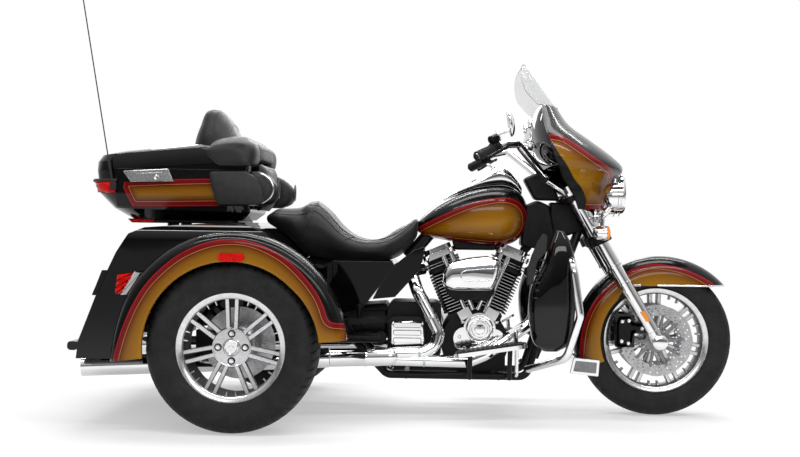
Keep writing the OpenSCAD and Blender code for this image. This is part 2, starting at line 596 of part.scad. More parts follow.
// Clamp round the stem and both legs, open where the legs pass
module clamp_outline(z) {
  lx = (leg_x(z) - head_x(z)) * cos(rake);
  difference() {
    union() {
      circle(d = stem_d + 44);
      translate([-30, -leg_y]) square([60, fork_spacing]);
      for (s = [-1, 1]) translate([lx, s * leg_y]) circle(d = cover_d + 38);
    }
    for (s = [-1, 1]) translate([lx, s * leg_y]) circle(d = cover_d + 12);
  }
}
module leg(d, z0, z1) rod([leg_x(z0), -leg_y, z0], [leg_x(z1), -leg_y, z1], d);
module fork_legs() color([0.80, 0.80, 0.82]) at_front() {
  both_sides() {
    leg(leg_d, front_r - 14, 640);
    leg(cover_d, 636, 900);
    leg(44, 890, 960);
    shaft(0, front_r, 62, -leg_y - 30, -leg_y + 27);
    leg(cover_d + 11, low_clamp_z - 16, low_clamp_z + 18);
    leg(cover_d + 11, high_clamp_z - 14, high_clamp_z + 12);
  }
  shaft(0, front_r, axle_d, -leg_y, leg_y);
}
module handlebar() color([0.80, 0.80, 0.82]) at_front() {
  tube([for (s = [-1, 1]) each [for (q = s < 0 ? [0:3] : [3:-1:0]) let (r = grip_line[q]) [r[0], s * r[1], r[2]]]],
    bar_d, 40);
  for (s = [-1, 1]) {
    head_frame(low_clamp_z) translate([-24, s * 46, head_len + 46.4]) cylinder(d = 38, h = 26);
    rod([riser_x, s * 46, riser_z], [grip_line[3][0], s * 46, grip_line[3][2]], 34);
  }
}
// Right half of the handlebar, from the grip end to the middle clamp: x, distance from the middle, z
grip_line = [[-775, 430, 1058], [-668, 342, 1112], [-604, 268, 1122], [-470, 76, 992]];
riser_s = head_len + 66;
riser_x = head_x(low_clamp_z) - 24 * cos(rake) - riser_s * sin(rake);
riser_z = low_clamp_z - 24 * sin(rake) + riser_s * cos(rake);
// Places on the right grip: t along it, o outward in front of it, h over it
grip_a = [grip_line[0][0], -grip_line[0][1], grip_line[0][2]];
grip_b = [grip_line[1][0], -grip_line[1][1], grip_line[1][2]];
grip_u = unit(grip_b - grip_a);
grip_up = unit([0, 0, 1] - grip_u[2] * grip_u);
grip_out = cross(grip_u, grip_up);
function on_grip(t, o, h) = grip_a + (grip_b - grip_a) * t + grip_out * o + grip_up * h;
module hand_controls() color([0.08, 0.08, 0.08]) at_front() both_sides() {
  difference() {
    union() {
      rod(on_grip(0.02, 0, 0), on_grip(0.6, 0, 0), 41);
      rod(on_grip(0.6, 0, 0), on_grip(0.86, 0, 0), 50);
    }
    rod(on_grip(-0.1, 0, 0), on_grip(1, 0, 0), bar_d + 0.6);
  }
  rod(on_grip(0.62, 0, 37), on_grip(0.92, 0, 37), 34);
  rod(on_grip(0.72, 20, 0), on_grip(0.72, 64, 0), 14);
  rod(on_grip(0.76, 60, 0), on_grip(-0.02, 68, -4), 12);
}
module mirrors() color([0.80, 0.80, 0.82]) at_front() both_sides() {
  rod(on_grip(0.78, 0, 60), [-634, -392, 1172], 10);
  rod([-634, -392, 1170], [-640, -410, 1190], 10);
  translate([-642, -412, 1192]) rotate([0, 80, 0]) cylinder(d = 104, h = 16, center = true);
}

// Fairing levels: z, nose x, edge x, half width
fairing_rows = [[864, -222, -280, 116], [930, -188, -296, 160], [985, -166, -414, 296], [1035, -145, -450, 382],
  [1080, -186, -470, 396], [1146, -278, -486, 366], [1213, -372, -500, 300], [1285, -423, -505, 232]];
shield_rows = [[1285.5, -425, -507, 230], [1340, -468, -552, 228], [1400, -511, -600, 212], [1446, -546, -632, 176],
  [1472, -566, -640, 120]];
// Level curve of a row, from the right edge round the nose to the left edge
function wrap(r, n) = [for (k = [0:n]) let (a = -90 + 180 * k / n)
  [r[2] + (r[1] - r[2]) * cos(a), r[3] * sin(a), r[0]]];
lamp_z = 930;
module fairing() color([0.55, 0.33, 0.02]) at_front() difference() {
  sheet([for (r = refine(fairing_rows, 2)) wrap(r, 24)], fairing_t);
  translate([-300, 0, lamp_z]) rotate([0, 90, 0]) cylinder(d = headlamp_d + 1, h = 200);
}
module dash() color([0.05, 0.05, 0.05]) at_front()
  loft([for (r = refine([for (i = [3:6]) fairing_rows[i]], 4)) let (w = r[3] - fairing_t - 2.2)
    [[r[2] + 26, -w, r[0]], [r[2] + 26, w, r[0]], [r[2] + 4, w, r[0]], [r[2] + 4, -w, r[0]]]]);
module windshield() color([0.55, 0.62, 0.66, 0.5]) at_front()
  sheet([for (r = refine(shield_rows, 3)) wrap(r, 16)], shield_t);
bar_z = 836;
bar_x = leg_x(bar_z) + (cover_d / 2 + 21) / cos(fork_angle);
module front_lamps() color([0.80, 0.80, 0.82]) at_front() {
  translate([-268, 0, lamp_z]) rotate([0, 90, 0]) cylinder(d = headlamp_d, h = 130);
  rod([bar_x, -passing_y, bar_z], [bar_x, passing_y, bar_z], 28);
  both_sides() {
    difference() {
      rod([bar_x, -leg_y, bar_z], [leg_x(bar_z), -leg_y, bar_z], 26);
      leg(cover_d + 0.8, 760, 900);
    }
    rod([bar_x, -passing_y, bar_z], [-216, -passing_y, 886], 24);
    translate([-254, -passing_y, 916]) rotate([0, 90, 0]) cylinder(d = passing_d, h = 78);
    rod([bar_x, -205, bar_z], [bar_x, -205, 780], 18);
    translate([-288, -205, 768]) rotate([0, 90, 0]) cylinder(d = 60, h = 66);
  }
}

fender_x = 25;
fender_z = front_r - 12;
module crown_outline(r) {
  translate([fender_r - crown_r, 0]) circle(r);
  translate([120, -r]) square([fender_r - crown_r - 120, 2 * r]);
}
module front_fender() color([0.55, 0.33, 0.02]) at_front() {
  difference() {
    translate([fender_x, 0, fender_z]) rotate([90, 0, 0]) rotate([0, 0, 42]) rotate_extrude(angle = 156) difference() {
      crown_outline(crown_r);
      crown_outline(crown_r - fender_t);
    }
    shaft(0, front_r, 466, -200, 200);
    block([-128, 400], [-200, 200], [0, front_r + 228]);
  }
  both_sides() difference() {
    shaft(leg_x(560), 560, 24, -leg_y + 4, -crown_r + 5);
    leg(leg_d + 0.6, 480, 640);
  }
}
disc_y = 73;
module front_calipers() color([0.08, 0.08, 0.08]) at_front() both_sides() difference() {
  union() {
    block([-172, -96], [-disc_y - 26, -disc_y + 13], [front_r - 28, front_r + 108]);
    block([-100, -40], [-disc_y - 26, -disc_y - 12], [front_r + 30, front_r + 78]);
  }
  block([-156, -60], [-disc_y - 7, -disc_y + 7], [front_r - 60, front_r + 140]);
  leg(leg_d + 0.8, 280, 640);
}

// Wheels

// Tyre section: tread radius, half width, bead radius, bead half width, squareness
module tyre_outline(r, w, bead, bw, p) {
  rc = (r + bead + 17) / 2;
  polygon([for (k = [0:47]) let (a = k * 7.5)
    [rc + (r - rc) * bent(cos(a), 2 / p), w * bent(sin(a), 2 / p)]]);
  translate([bead, -bw]) square([rc - bead, 2 * bw]);
}
module rim_outline(r, w) {
  translate([r - 24, -w]) square([8.5, 2 * w]);
  for (s = [-1, 1]) translate([r - 24, s > 0 ? w - 8 : -w]) square([24, 8]);
}
// Short nubs on the barrel between the pairs of spokes
module nubs(r, y0, y1) for (i = [0:spoke_pairs - 1]) for (s = [-5.5, 5.5])
  rotate([0, 0, (i + 0.5) * 360 / spoke_pairs + s]) translate([r - 40, -2.5, y0]) cube([18, 5, y1 - y0]);
// Twin spokes from the hub to the barrel, on the face at height y
module spokes(r, y0, y1) for (i = [0:spoke_pairs - 1]) rotate([0, 0, i * 360 / spoke_pairs])
  for (s = [-1, 1]) translate([30, s * spoke_gap / 2 - spoke_w / 2, y0]) cube([r - 50, spoke_w, y1 - y0]);
module front_tyre() color([0.05, 0.05, 0.05]) at_front() ring_y(0, front_r)
  tyre_outline(front_r, front_tyre_w / 2, front_rim_d / 2 - 15, 45, 2.4);
module front_rim() color([0.70, 0.70, 0.72]) at_front() translate([0, 0, front_r]) rotate([90, 0, 0]) difference() {
  union() {
    rotate_extrude() rim_outline(front_rim_d / 2, 54);
    spokes(front_rim_d / 2, -14, 14);
    nubs(front_rim_d / 2, -8, 8);
    cylinder(d = 96, h = 132, center = true);
    cylinder(d = 150, h = 30, center = true);
  }
  cylinder(d = axle_d + 2 * run_clear, h = 200, center = true);
}
module front_discs() color([0.60, 0.60, 0.62]) at_front() both_sides() difference() {
  union() {
    shaft(0, front_r, 300, -disc_y - 2.5, -disc_y + 2.5);
    shaft(0, front_r, 84, -disc_y - 6, -66.2);
  }
  shaft(0, front_r, axle_d + 2 * run_clear, -100, -40);
  for (i = [0:11]) translate([0, 0, front_r]) rotate([0, i * 30, 0]) shaft(122, 0, 14, -90, -50);
}
module rear_tyre() color([0.05, 0.05, 0.05]) at_rear() translate([0, -side, 0]) ring_y(0, rear_r)
  tyre_outline(rear_r, rear_tyre_w / 2, rear_rim_d / 2 - 15, 72, 3.2);
module rear_rim() color([0.70, 0.70, 0.72]) at_rear() translate([0, -side, rear_r]) rotate([90, 0, 0]) difference() {
  union() {
    rotate_extrude() rim_outline(rear_rim_d / 2, 82);
    spokes(rear_rim_d / 2, 34, 58);
    nubs(rear_rim_d / 2, 46, 60);
    translate([0, 0, -100]) cylinder(d = 100, h = 160);
    translate([0, 0, 30]) cylinder(d = 152, h = 30);
    translate([0, 0, 59]) cylinder(d = 56, h = 11);
    for (i = [0:3]) rotate([0, 0, i * 90]) translate([50, 0, 58]) cylinder(d = 24, h = 8);
    translate([0, 0, -118]) cylinder(d = 280, h = 8);
    translate([0, 0, -118]) cylinder(d = 100, h = 20);
  }
  translate([0, 0, -140]) cylinder(d = axle_d + 2 * run_clear, h = 201);
}
module right_tyre() rear_tyre();
module right_rim() rear_rim();
module left_tyre() mirror([0, 1, 0]) rear_tyre();
module left_rim() mirror([0, 1, 0]) rear_rim();

frame();
crankcase();
cylinders();
rocker_covers();
cam_cover();
air_cleaner();
gearbox();
primary_cover();
exhaust_headers();
muffler_right();
muffler_left();
fuel_tank();
tank_console();
seat();
seat_panel();
lower_fairing_right();
lower_fairing_left();
engine_guard();
footboards();
foot_controls();
trike_body();
rear_fender_right();
rear_fender_left();
rear_bumper();
tail_lamps();
rear_axle();
tour_base();
speaker_pods();
lumbar_pad();
antenna();
trunk_door();
plate_bracket();
tour_lid();
backrest();
fork_stem();
fork_legs();
handlebar();
hand_controls();
mirrors();
fairing();
dash();
windshield();
front_lamps();
front_fender();
front_calipers();
front_tyre();
front_rim();
front_discs();
right_tyre();
right_rim();
left_tyre();
left_rim();
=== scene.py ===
import json
import math
import bpy
import bmesh
import numpy as np
from mathutils import Matrix, Vector
from mathutils.bvhtree import BVHTree


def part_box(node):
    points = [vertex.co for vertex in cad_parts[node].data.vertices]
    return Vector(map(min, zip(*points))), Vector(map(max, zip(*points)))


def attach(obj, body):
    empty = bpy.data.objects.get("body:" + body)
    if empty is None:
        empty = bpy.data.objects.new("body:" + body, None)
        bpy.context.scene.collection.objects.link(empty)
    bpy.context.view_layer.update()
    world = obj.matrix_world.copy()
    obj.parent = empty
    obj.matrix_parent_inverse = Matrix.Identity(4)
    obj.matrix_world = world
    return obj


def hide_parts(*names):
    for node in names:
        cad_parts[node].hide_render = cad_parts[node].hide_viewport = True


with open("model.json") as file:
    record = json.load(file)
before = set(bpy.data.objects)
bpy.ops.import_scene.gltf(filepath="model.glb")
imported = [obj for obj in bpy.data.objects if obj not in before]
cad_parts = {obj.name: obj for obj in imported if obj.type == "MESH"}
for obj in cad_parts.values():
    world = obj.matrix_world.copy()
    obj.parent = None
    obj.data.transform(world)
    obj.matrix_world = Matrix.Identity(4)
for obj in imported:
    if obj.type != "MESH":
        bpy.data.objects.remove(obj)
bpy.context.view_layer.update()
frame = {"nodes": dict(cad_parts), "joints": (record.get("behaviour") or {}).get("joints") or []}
nodes = frame["nodes"]
joints = {j["name"]: j for j in frame["joints"]}
REAR = np.array([joints["rear_wheel_right_spin"]["pos_m"][0], 0.0, 0.0])
FRONT = np.array([joints["front_wheel_spin"]["pos_m"][0], 0.0, 0.0])
MM = 0.001
FRONT_Z, REAR_Z, HALF_TRACK = 320, 325, 567
SIDES = ((-1, "right"), (1, "left"))
ON_FORK, ON_WHEEL = {"origin": FRONT, "body": "fork"}, {"origin": FRONT, "body": "front_wheel"}
scene = bpy.context.scene


# Materials

def tree(name):
    m = bpy.data.materials.new(name)
    m.use_nodes = True
    return m, m.node_tree, m.node_tree.nodes["Principled BSDF"]


def put(nt, kind, inputs=(), **attrs):
    n = nt.nodes.new("ShaderNode" + kind)
    for k, v in attrs.items():
        setattr(n, k, v)
    for k, v in dict(inputs).items():
        s = n.inputs[k]
        if hasattr(v, "is_output"):
            nt.links.new(v, s)
        else:
            s.default_value = v
    return n


def rgb(r, g, b):
    return (r, g, b, 1.0)


def noise(nt, scale, detail=3.0, rough=0.55):
    c = put(nt, "TexCoord")
    return put(nt, "TexNoise", {"Vector": c.outputs["Object"], "Scale": scale, "Detail": detail,
                                "Roughness": rough}).outputs["Fac"]


def spread(nt, fac, lo, hi, a=0.3, b=0.7):
    return put(nt, "MapRange", {"Value": fac, "From Min": a, "From Max": b, "To Min": lo,
                                "To Max": hi}).outputs["Result"]


def ramp(nt, fac, stops):
    node = put(nt, "ValToRGB", {"Fac": fac})
    cr = node.color_ramp
    for i, (at, colour) in enumerate(stops):
        e = cr.elements[i] if i < 2 else cr.elements.new(0.5)
        e.position = at
        e.color = colour
    return node.outputs["Color"]


def blend_colour(nt, fac, c0, c1):
    return ramp(nt, fac, [(0.3, c0), (0.7, c1)])


def setting(b, **values):
    """Sets constants on a shader's sockets, with _ for each space in their names."""
    for k, v in values.items():
        b.inputs[k.replace("_", " ")].default_value = v


def surface(name, c0, c1, rough, scale, bump, metal=0.0, coat=0.0, spec=0.5):
    """Material with a varied colour and roughness; bump holds scale, strength and distance."""
    m, nt, b = tree(name)
    setting(b, Metallic=metal, Coat_Weight=coat, Coat_Roughness=0.03, Specular_IOR_Level=spec,
            Sheen_Weight=0.0)
    nt.links.new(blend_colour(nt, noise(nt, scale), rgb(*c0), rgb(*c1)), b.inputs["Base Color"])
    nt.links.new(spread(nt, noise(nt, scale * 3.1, 4.0), *rough), b.inputs["Roughness"])
    n = put(nt, "Bump", {"Height": noise(nt, bump[0], 5.0), "Strength": bump[1], "Distance": bump[2]})
    nt.links.new(n.outputs["Normal"], b.inputs["Normal"])
    return m


M = {
    "gloss": surface("gloss_black", (0.0012, 0.0012, 0.0014), (0.003, 0.003, 0.0033), (0.03, 0.06), 9.0,
                     (260.0, 0.008, 0.0004), coat=0.30, spec=0.22),
    "satin": surface("satin_black", (0.002, 0.002, 0.002), (0.006, 0.006, 0.006), (0.28, 0.42), 40.0,
                     (900.0, 0.08, 0.0003), spec=0.18),
    "wrinkle": surface("wrinkle_black", (0.003, 0.003, 0.003), (0.010, 0.010, 0.010), (0.40, 0.60), 300.0,
                       (1500.0, 0.35, 0.0004), spec=0.2),
    "plastic": surface("trim_plastic", (0.010, 0.010, 0.011), (0.017, 0.017, 0.018), (0.38, 0.55), 60.0,
                       (1800.0, 0.15, 0.0003), spec=0.3),
    "chrome": surface("chrome", (0.78, 0.78, 0.79), (0.86, 0.86, 0.87), (0.03, 0.08), 6.0,
                      (40.0, 0.01, 0.0005), metal=1.0),
    "steel": surface("ground_steel", (0.42, 0.42, 0.43), (0.56, 0.56, 0.57), (0.24, 0.38), 60.0,
                     (700.0, 0.06, 0.0003), metal=1.0),
    "alloy": surface("machined_alloy", (0.62, 0.62, 0.63), (0.74, 0.74, 0.75), (0.16, 0.28), 50.0,
                     (500.0, 0.05, 0.0003), metal=1.0),
    "alloy_dark": surface("cast_alloy", (0.20, 0.20, 0.205), (0.28, 0.28, 0.285), (0.34, 0.50), 80.0,
                          (900.0, 0.12, 0.0003), metal=1.0),
    "rubber": surface("tyre_rubber", (0.005, 0.005, 0.005), (0.013, 0.013, 0.013), (0.50, 0.70), 22.0,
                      (1200.0, 0.18, 0.0004), spec=0.25),
    "amber": surface("amber_lens", (0.72, 0.20, 0.005), (0.85, 0.28, 0.01), (0.08, 0.14), 90.0,
                     (350.0, 0.2, 0.0006), coat=0.4),
    "red": surface("red_lens", (0.34, 0.001, 0.001), (0.60, 0.004, 0.002), (0.08, 0.14), 70.0,
                   (200.0, 0.03, 0.0004), coat=0.1, spec=0.2),
}


def leather_material():
    m, nt, b = tree("black_leather")
    c = put(nt, "TexCoord").outputs["Object"]
    cells = put(nt, "TexVoronoi", {"Vector": c, "Scale": 420.0}, feature="DISTANCE_TO_EDGE")
    grain = spread(nt, cells.outputs["Distance"], 0.0, 1.0, 0.0, 0.12)
    nt.links.new(blend_colour(nt, noise(nt, 14.0), rgb(0.004, 0.004, 0.004), rgb(0.010, 0.010, 0.010)),
                 b.inputs["Base Color"])
    nt.links.new(spread(nt, noise(nt, 120.0, 4.0), 0.34, 0.52), b.inputs["Roughness"])
    low = put(nt, "Bump", {"Height": noise(nt, 30.0, 3.0), "Strength": 0.12, "Distance": 0.003})
    top = put(nt, "Bump", {"Height": grain, "Strength": 0.22, "Distance": 0.0004,
                           "Normal": low.outputs["Normal"]})
    nt.links.new(top.outputs["Normal"], b.inputs["Normal"])
    setting(b, Sheen_Weight=0.05, Specular_IOR_Level=0.35)
    return m


def glass_material(name, tint, rough):
    m, nt, b = tree(name)
    setting(b, Transmission_Weight=0.9, IOR=1.2)
    brighter = [min(1.0, v + 0.02) for v in tint]
    nt.links.new(blend_colour(nt, noise(nt, 3.0), rgb(*tint), rgb(*brighter)), b.inputs["Base Color"])
    nt.links.new(spread(nt, noise(nt, 20.0), rough * 0.5, rough), b.inputs["Roughness"])
    return m


M["leather"] = leather_material()
M["shield"] = surface("clear_shield", (0.34, 0.35, 0.36), (0.40, 0.41, 0.42), (0.03, 0.06), 6.0,
                      (40.0, 0.004, 0.0004), spec=0.4)
setting(M["shield"].node_tree.nodes["Principled BSDF"], Alpha=0.17)
M["lens"] = glass_material("clear_lens", (0.94, 0.95, 0.96), 0.05)

# Painted panels: each vertex keeps its distance inside the outer red line, in millimetres
STRIPES = [
    (-4.0, (0.002, 0.002, 0.002)), (0.0, (0.27, 0.006, 0.009)), (3.8, (0.120, 0.002, 0.003)),
    (17.4, (0.085, 0.002, 0.002)), (19.0, (0.38, 0.15, 0.025)), (21.0, (0.080, 0.010, 0.001))]
GOLD = [(25.0, (0.095, 0.022, 0.001)), (45.0, (0.180, 0.070, 0.001)), (80.0, (0.285, 0.126, 0.001)),
        (130.0, (0.330, 0.152, 0.001))]
PAINT_FROM, PAINT_TO, STRIPE_SOFT = -10.0, 160.0, 0.35


def paint_material():
    m, nt, b = tree("panel_paint")
    d = put(nt, "Attribute", attribute_name="inside").outputs["Fac"]
    stops = []
    for i, (at, col) in enumerate(STRIPES):
        end = (STRIPES + GOLD)[i + 1][0] - STRIPE_SOFT
        start = PAINT_FROM if i == 0 else at + STRIPE_SOFT
        stops.append((start, col))
        if end > start:
            stops.append((end, col))
    stops = [((at - PAINT_FROM) / (PAINT_TO - PAINT_FROM), rgb(*col)) for at, col in stops + GOLD]
    lines = ramp(nt, spread(nt, d, 0.0, 1.0, PAINT_FROM, PAINT_TO), stops)
    flake = put(nt, "TexVoronoi", {"Vector": put(nt, "TexCoord").outputs["Object"], "Scale": 900.0})
    tint = spread(nt, flake.outputs["Distance"], 0.9, 1.12, 0.0, 0.6)
    mixed = put(nt, "VectorMath", {0: lines}, operation="SCALE")
    nt.links.new(tint, mixed.inputs["Scale"])
    nt.links.new(mixed.outputs["Vector"], b.inputs["Base Color"])
    nt.links.new(spread(nt, noise(nt, 60.0), 0.16, 0.26), b.inputs["Roughness"])
    n = put(nt, "Bump", {"Height": noise(nt, 260.0), "Strength": 0.02, "Distance": 0.0004})
    nt.links.new(n.outputs["Normal"], b.inputs["Normal"])
    setting(b, Specular_IOR_Level=0.18, Coat_Weight=0.2, Coat_Roughness=0.02)
    return m


M["paint"] = paint_material()

NODE_LOOKS = {
    "satin": "frame rear_axle fork_stem plate_bracket footboards".split(),
    "wrinkle": "crankcase cylinders gearbox".split(),
    "chrome": ("rocker_covers cam_cover air_cleaner primary_cover exhaust_headers muffler_right muffler_left "
               "tank_console engine_guard foot_controls fork_legs handlebar mirrors front_lamps").split(),
    "gloss": ("seat_panel trike_body trunk_door rear_bumper lower_fairing_right lower_fairing_left tour_base "
              "tour_lid").split(),
    "plastic": "dash speaker_pods hand_controls antenna front_calipers".split(),
    "red": ["tail_lamps"],
    "shield": ["windshield"],
    "alloy": "front_rim right_rim left_rim".split(),
    "steel": ["front_discs"],
    "rubber": "front_tyre right_tyre left_tyre".split(),
    "leather": "seat backrest lumbar_pad".split(),
    "paint": "fuel_tank rear_fender_right rear_fender_left fairing front_fender".split(),
}
for look, names in NODE_LOOKS.items():
    for n in names:
        me = nodes[n].data
        me.materials.clear()
        me.materials.append(M[look])


def soften(name, width, angle=35, steps=2):
    """Rounds a solid's sharp edges a little."""
    o = nodes[name]
    w = o.modifiers.new("weld", "WELD")
    w.merge_threshold = 0.00002
    v = o.modifiers.new("edge", "BEVEL")
    v.width = width
    v.segments = steps
    v.limit_method = "ANGLE"
    v.angle_limit = math.radians(angle)
    v.use_clamp_overlap = True
    w = o.modifiers.new("normals", "WEIGHTED_NORMAL")
    w.weight = 60
    w.keep_sharp = False
    o.data.shade_smooth()


# Mesh helpers, in millimetres from a given origin

def refine(rows, n):
    r = np.array(rows, float)
    out = []
    for i in range(len(r) - 1):
        a, b, c, d = r[max(i - 1, 0)], r[i], r[i + 1], r[min(i + 2, len(r) - 1)]
        for k in range(n):
            t = k / n
            out.append((2 * b + (c - a) * t + (2 * a - 5 * b + 4 * c - d) * t * t
                        + (3 * b - a - 3 * c + d) * t ** 3) / 2)
    out.append(r[-1])
    return np.array(out)


def bent(v, p):
    return np.sign(v) * np.abs(v) ** p


def oval_x(r, n):
    a = 2 * np.pi * (np.arange(n) + 0.5) / n
    x, w, lo, hi, p = r
    return np.stack([np.full(n, x), w * bent(np.cos(a), 2 / p),
                     (lo + hi) / 2 + (hi - lo) / 2 * bent(np.sin(a), 2 / p)], 1)


def oval_z(z, x0, x1, y0, y1, p, n):
    a = 2 * np.pi * (np.arange(n) + 0.5) / n
    return np.stack([(x0 + x1) / 2 + (x1 - x0) / 2 * bent(np.cos(a), 2 / p),
                     (y0 + y1) / 2 + (y1 - y0) / 2 * bent(np.sin(a), 2 / p), np.full(n, z)], 1)


def skin(g, closed=True, loop=False):
    """Faces over rows of points; closed joins a row's ends, loop joins the first and last rows."""
    g = np.asarray(g, float)
    m, n = g.shape[:2]
    faces = []
    for i in range(m if loop else m - 1):
        j = (i + 1) % m
        for k in range(n if closed else n - 1):
            l = (k + 1) % n
            faces.append((i * n + k, i * n + l, j * n + l, j * n + k))
    if closed and not loop:
        faces.append(tuple(range(n - 1, -1, -1)))
        faces.append(tuple((m - 1) * n + k for k in range(n)))
    return g.reshape(-1, 3), faces


def domed(rings, depth, steps=4):
    """Closes both ends of a stack of sections with a shallow dome."""
    rings = [np.asarray(r, float) for r in rings]
    out = list(rings)
    for end, nxt in ((0, 1), (-1, -2)):
        c = rings[end].mean(0)
        way = c - rings[nxt].mean(0)
        way /= np.linalg.norm(way)
        extra = []
        for s in range(1, steps + 1):
            t = s / steps * 0.98
            extra.append(c + (rings[end] - c) * math.sqrt(1 - t * t) + way * depth * t)
        out = extra[::-1] + out if end == 0 else out + extra
    return np.array(out)


def across(path):
    """Two directions across each place of a path, carried along it without twist."""
    path = np.asarray(path, float)
    t = np.gradient(path, axis=0)
    t /= np.linalg.norm(t, axis=1)[:, None]
    u = np.array([0, 0, 1.0]) if abs(t[0][2]) < 0.8 else np.array([1.0, 0, 0])
    us, vs = [], []
    for d in t:
        u = u - d * (u @ d)
        u /= np.linalg.norm(u)
        us.append(u)
        vs.append(np.cross(d, u))
    return np.array(us), np.array(vs)


def rounded(path, radius, steps=8):
    """Path with its corners turned into arcs."""
    p = np.asarray(path, float)
    out = [p[0]]
    for i in range(1, len(p) - 1):
        a = p[i] - p[i - 1]
        b = p[i + 1] - p[i]
        a /= np.linalg.norm(a)
        b /= np.linalg.norm(b)
        turn = math.acos(max(-1.0, min(1.0, a @ b)))
        w = np.cross(a, b)
        if np.linalg.norm(w) < 1e-6:
            out.append(p[i])
            continue
        w /= np.linalg.norm(w)
        side = np.cross(a, w)
        c = p[i] - a * radius * math.tan(turn / 2) - side * radius
        for k in range(steps + 1):
            f = turn * k / steps
            out.append(c + radius * (side * math.cos(f) + a * math.sin(f)))
    out.append(p[-1])
    return np.array(out)


def pipe(path, radius, n=20, wide=1.0):
    u, v = across(path)
    a = 2 * np.pi * np.arange(n) / n
    r = np.broadcast_to(np.asarray(radius, float), (len(path),))
    ring = np.cos(a)[None, :, None] * u[:, None, :] * wide + np.sin(a)[None, :, None] * v[:, None, :]
    return skin(np.asarray(path, float)[:, None, :] + ring * r[:, None, None])


def lathe(a, b, profile, n=40):
    """Turned solid from a towards b; profile holds (distance along, radius)."""
    a, b = np.array(a, float), np.array(b, float)
    d = b - a
    d /= np.linalg.norm(d)
    u = np.cross(d, [0, 0, 1.0] if abs(d[2]) < 0.9 else [1.0, 0, 0])
    u /= np.linalg.norm(u)
    v = np.cross(d, u)
    f = 2 * np.pi * np.arange(n) / n
    ring = np.cos(f)[:, None] * u + np.sin(f)[:, None] * v
    return skin([a + d * s + ring * max(r, 0.05) for s, r in profile])


def turned_ring(profile, n, centre=(0, 0, 0)):
    """Closed profile of (radius, y) turned about the Y axis through centre."""
    f = 2 * np.pi * np.arange(n) / n
    p = np.array(profile, float)
    g = np.stack([np.cos(f)[:, None] * p[None, :, 0], np.broadcast_to(p[None, :, 1], (n, len(p))),
                  np.sin(f)[:, None] * p[None, :, 0]], 2)
    return skin(g + np.array(centre, float), loop=True)


def stud(x, z, y0, y1, profile, n):
    """Turned solid along Y."""
    return lathe((x, y0, z), (x, y1, z), profile, n)


def left_turning(outline):
    p = np.asarray(outline, float)
    area = np.sum(p[:, 0] * np.roll(p[:, 1], -1) - np.roll(p[:, 0], -1) * p[:, 1])
    return p[::-1] if area < 0 else p


def inset(outline, d):
    """Outline of a flat shape, moved in by d."""
    p = left_turning(outline)
    e0 = p - np.roll(p, 1, 0)
    e1 = np.roll(p, -1, 0) - p
    n0 = np.stack([-e0[:, 1], e0[:, 0]], 1) / (np.linalg.norm(e0, axis=1)[:, None] + 1e-9)
    n1 = np.stack([-e1[:, 1], e1[:, 0]], 1) / (np.linalg.norm(e1, axis=1)[:, None] + 1e-9)
    k = n0 + n1
    return p + k * d / np.maximum(0.35, (1 + np.sum(n0 * n1, 1)))[:, None]


def rounded_outline(points, radius, steps=5):
    p = np.array(points, float)
    out = []
    for i in range(len(p)):
        a, b, c = p[i - 1], p[i], p[(i + 1) % len(p)]
        u, v = (a - b), (c - b)
        lu, lv = np.linalg.norm(u), np.linalg.norm(v)
        r = min(radius, lu * 0.45, lv * 0.45)
        q0, q1 = b + u / lu * r, b + v / lv * r
        for k in range(steps + 1):
            t = k / steps
            out.append((1 - t) ** 2 * q0 + 2 * t * (1 - t) * b + t * t * q1)
    return np.array(out)


def box(x0, x1, z0, z1, radius, steps=5):
    """Rounded rectangle."""
    return rounded_outline([(x0, z0), (x1, z0), (x1, z1), (x0, z1)], radius, steps)


def upright(outline, y):
    """Flat outline set upright at a level of y."""
    return np.column_stack([outline[:, 0], np.full(len(outline), y), outline[:, 1]])


def plate(outline, y0, y1, edge, axis="y"):
    """Flat outline made thick from y0 to y1, or along Z, with chamfered edges."""
    p, q = left_turning(outline), inset(outline, edge)
    s = 1 if y1 > y0 else -1
    rows = [upright(o, y) for o, y in ((q, y0), (p, y0 + s * edge), (p, y1 - s * edge), (q, y1))]
    return skin(rows if axis == "y" else [r[:, [0, 2, 1]] for r in rows])


def circle(cx, cz, r, n):
    f = 2 * np.pi * np.arange(n) / n
    return np.stack([cx + r * np.cos(f), cz + r * np.sin(f)], 1)


def joined(parts):
    vs, fs, n = [], [], 0
    for v, f in parts:
        vs.append(np.asarray(v, float))
        fs += [tuple(i + n for i in q) for q in f]
        n += len(v)
    return np.vstack(vs), fs


def mirrored(part):
    v, f = part
    return np.asarray(v, float) * [1, -1, 1], [tuple(reversed(q)) for q in f]


def both(*parts):
    return joined([p for part in parts for p in (part, mirrored(part))])


